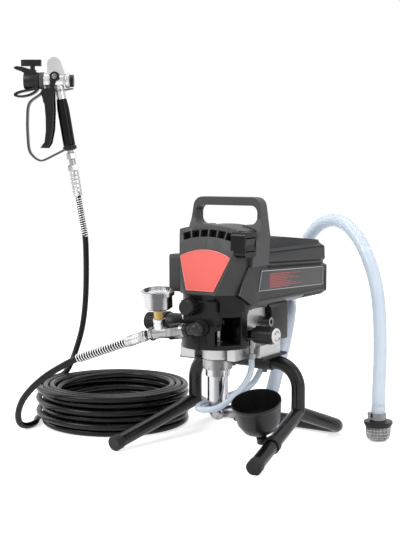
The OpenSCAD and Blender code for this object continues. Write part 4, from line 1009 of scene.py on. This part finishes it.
WEARS = {
    "tube": "cross_tube legs front_feet rear_rail weld_left weld_right",
    "sleeve": "tube_sleeves", "plate": "base_plate cup_bracket", "cap": "foot_caps",
    "bolt": "sleeve_bolts sensor_plug strainer_clamp strainer_clamp_housing "
            "strainer_clamp_screw inlet_clamp inlet_clamp_housing inlet_clamp_screw "
            "pivot_screw_left pivot_screw_right",
    "cup": "drip_cup", "casting": "pump_casting",
    "collar": "pump_collar", "cylinder": "pump_cylinder", "valve": "inlet_valve",
    "rod": "piston_rod", "forged": "connecting_rod crank",
    "brass": "packing_nut gauge_stem tip_seat",
    "housing": "gear_housing", "cover": "front_cover control_box", "shroud": "motor_shroud",
    "handle": "carry_handle", "grille": "rear_grille cord_gland", "switch": "switch_box power_switch",
    "red": "front_plate plate_line", "red_rim_highlight": "plate_rim", "panel": "side_panel",
    "rim": "side_panel_rim", "gap": "shroud_ledge_left shroud_ledge_right",
    "stripe": " ".join("side_stripe_%d" % i for i in range(STRIPES)),
    "filter": "filter_housing outlet_elbow", "knob": "filter_cap pressure_knob prime_knob",
    "white": "prime_disc",
    "mark": " ".join(["prime_arrow_0", "prime_arrow_1", "prime_arrowhead_0", "prime_arrowhead_1"]
                     + ["dial_tick_%02d" % i for i in range(RED_FROM)]
                     + ["dial_number_%d" % i for i in range(DIAL_NUMBERS)]),
    "mark_red": " ".join("dial_tick_%02d" % i for i in range(RED_FROM, DIAL_STEPS + 1)),
    "nut": "swivel_nut prime_valve trigger_lock",
    "tee": "outlet_tee tee_branch",
    "bright": "machine_ferrule machine_hexagon gun_union gun_nipple gun_hexagon gun_end_ferrule",
    "case": "gauge_case", "dial": "gauge_dial", "needle": "gauge_needle", "lens": "gauge_lens",
    "wire": "bend_spring_machine bend_spring_gun", "hose": "pressure_hose",
    "clear": "siphon_line drain_line strainer_neck", "basket": "strainer_mesh",
    "liner": "strainer_liner", "gun": "gun_body nose_ring cap_collar",
    "gun_black": "gun_end_cap guard_barrel guard_wing_top guard_wing_loop spray_tip "
                 "strap_ring strainer_flange",
    "strap": "trigger_strap strap_saddle",
    "grip": "gun_handle", "trigger": "gun_trigger",
}
for finish, names in WEARS.items():
    for name in names.split():
        piece = PIECES[name]
        piece.data.materials.clear()
        piece.data.materials.append(FINISHES[finish])


# ---- Stage ----

SEEN_WHITE = 0.66       # glow of the floor, so that what sees it directly sees near white
FLOOR_HALF = 30
FLOOR_Z = -0.0004


def seen_directly(finish):
    """1 for rays from the camera and those that metal and glass pass on."""
    camera, mirrored, through = (
        finish.add("ShaderNodeLightPath", out="Is %s Ray" % kind)
        for kind in ("Camera", "Glossy", "Transmission"))
    return finish.maths("MAXIMUM", camera, finish.maths("MAXIMUM", mirrored, through))


def set_stage():
    """A wide pale floor; what sees it directly sees it near white, with the shadow."""
    mesh = bpy.data.meshes.new("floor")
    mesh.from_pydata([(x * FLOOR_HALF, y * FLOOR_HALF, FLOOR_Z) for x, y in (
        (-1, -1), (1, -1), (1, 1), (-1, 1))], [], [(0, 1, 2, 3)])
    floor = bpy.data.objects.new("floor", mesh)
    SCENE.collection.objects.link(floor)
    f = Finish("floor_paper", (0.88, 0.88, 0.88), Roughness=0.9, Specular_IOR_Level=0.0)
    glow = f.tree.nodes.new("ShaderNodeEmission")
    none = f.tree.nodes.new("ShaderNodeEmission")
    none.inputs["Strength"].default_value = 0
    glow.inputs["Strength"].default_value = SEEN_WHITE
    choice = f.add("ShaderNodeMixShader", None, {0: seen_directly(f)})
    f.tree.links.new(none.outputs[0], choice.socket.node.inputs[1])
    f.tree.links.new(glow.outputs[0], choice.socket.node.inputs[2])
    both = f.tree.nodes.new("ShaderNodeAddShader")
    f.tree.links.new(f.shader.outputs[0], both.inputs[0])
    f.tree.links.new(choice.socket, both.inputs[1])
    f.tree.links.new(both.outputs[0], f.tree.nodes["Material Output"].inputs["Surface"])
    mesh.materials.append(f.material)


def add_light(name, spot, aim, size, power):
    """A rectangular lamp at spot that faces aim; size in metres, power in watts."""
    data = bpy.data.lights.new(name, "AREA")
    data.shape = "RECTANGLE"
    data.size, data.size_y = size
    data.energy = power
    lamp = bpy.data.objects.new(name, data)
    SCENE.collection.objects.link(lamp)
    lamp.location = spot
    lamp.rotation_euler = (Vector(aim) - Vector(spot)).to_track_quat("-Z", "Y").to_euler()


WORLD_LIGHT, WORLD_SEEN = 0.4, 1.0      # the white world as light, and as it looks


def set_light():
    """Four soft lamps, and a white world that looks brighter than it lights."""
    add_light("key", (-0.9, -2.0, 2.1), (0, 0, 0.3), (1.4, 1.4), 44)
    add_light("side", (2.4, -0.4, 1.3), (0.1, 0, 0.3), (1.0, 1.8), 15)
    add_light("top", (0.2, 0.5, 2.6), (0.1, 0, 0.2), (2.0, 2.0), 24)
    add_light("left", (-2.4, -0.3, 1.2), (-0.2, 0, 0.3), (0.9, 1.8), 12)
    world = bpy.data.worlds.new("studio")
    SCENE.world = world
    world.use_nodes = True
    tree = world.node_tree
    back = tree.nodes["Background"]
    back.inputs["Color"].default_value = (1, 1, 1, 1)
    path = tree.nodes.new("ShaderNodeLightPath")
    seen = path.outputs["Is Camera Ray"]
    for other in ("Is Glossy Ray", "Is Transmission Ray"):
        most = tree.nodes.new("ShaderNodeMath")
        most.operation = "MAXIMUM"
        tree.links.new(seen, most.inputs[0])
        tree.links.new(path.outputs[other], most.inputs[1])
        seen = most.outputs[0]
    strength = tree.nodes.new("ShaderNodeMapRange")
    tree.links.new(seen, strength.inputs["Value"])
    strength.inputs["To Min"].default_value = WORLD_LIGHT
    strength.inputs["To Max"].default_value = WORLD_SEEN
    tree.links.new(strength.outputs[0], back.inputs["Strength"])
    SCENE.view_settings.view_transform = "Standard"


set_stage()
set_light()
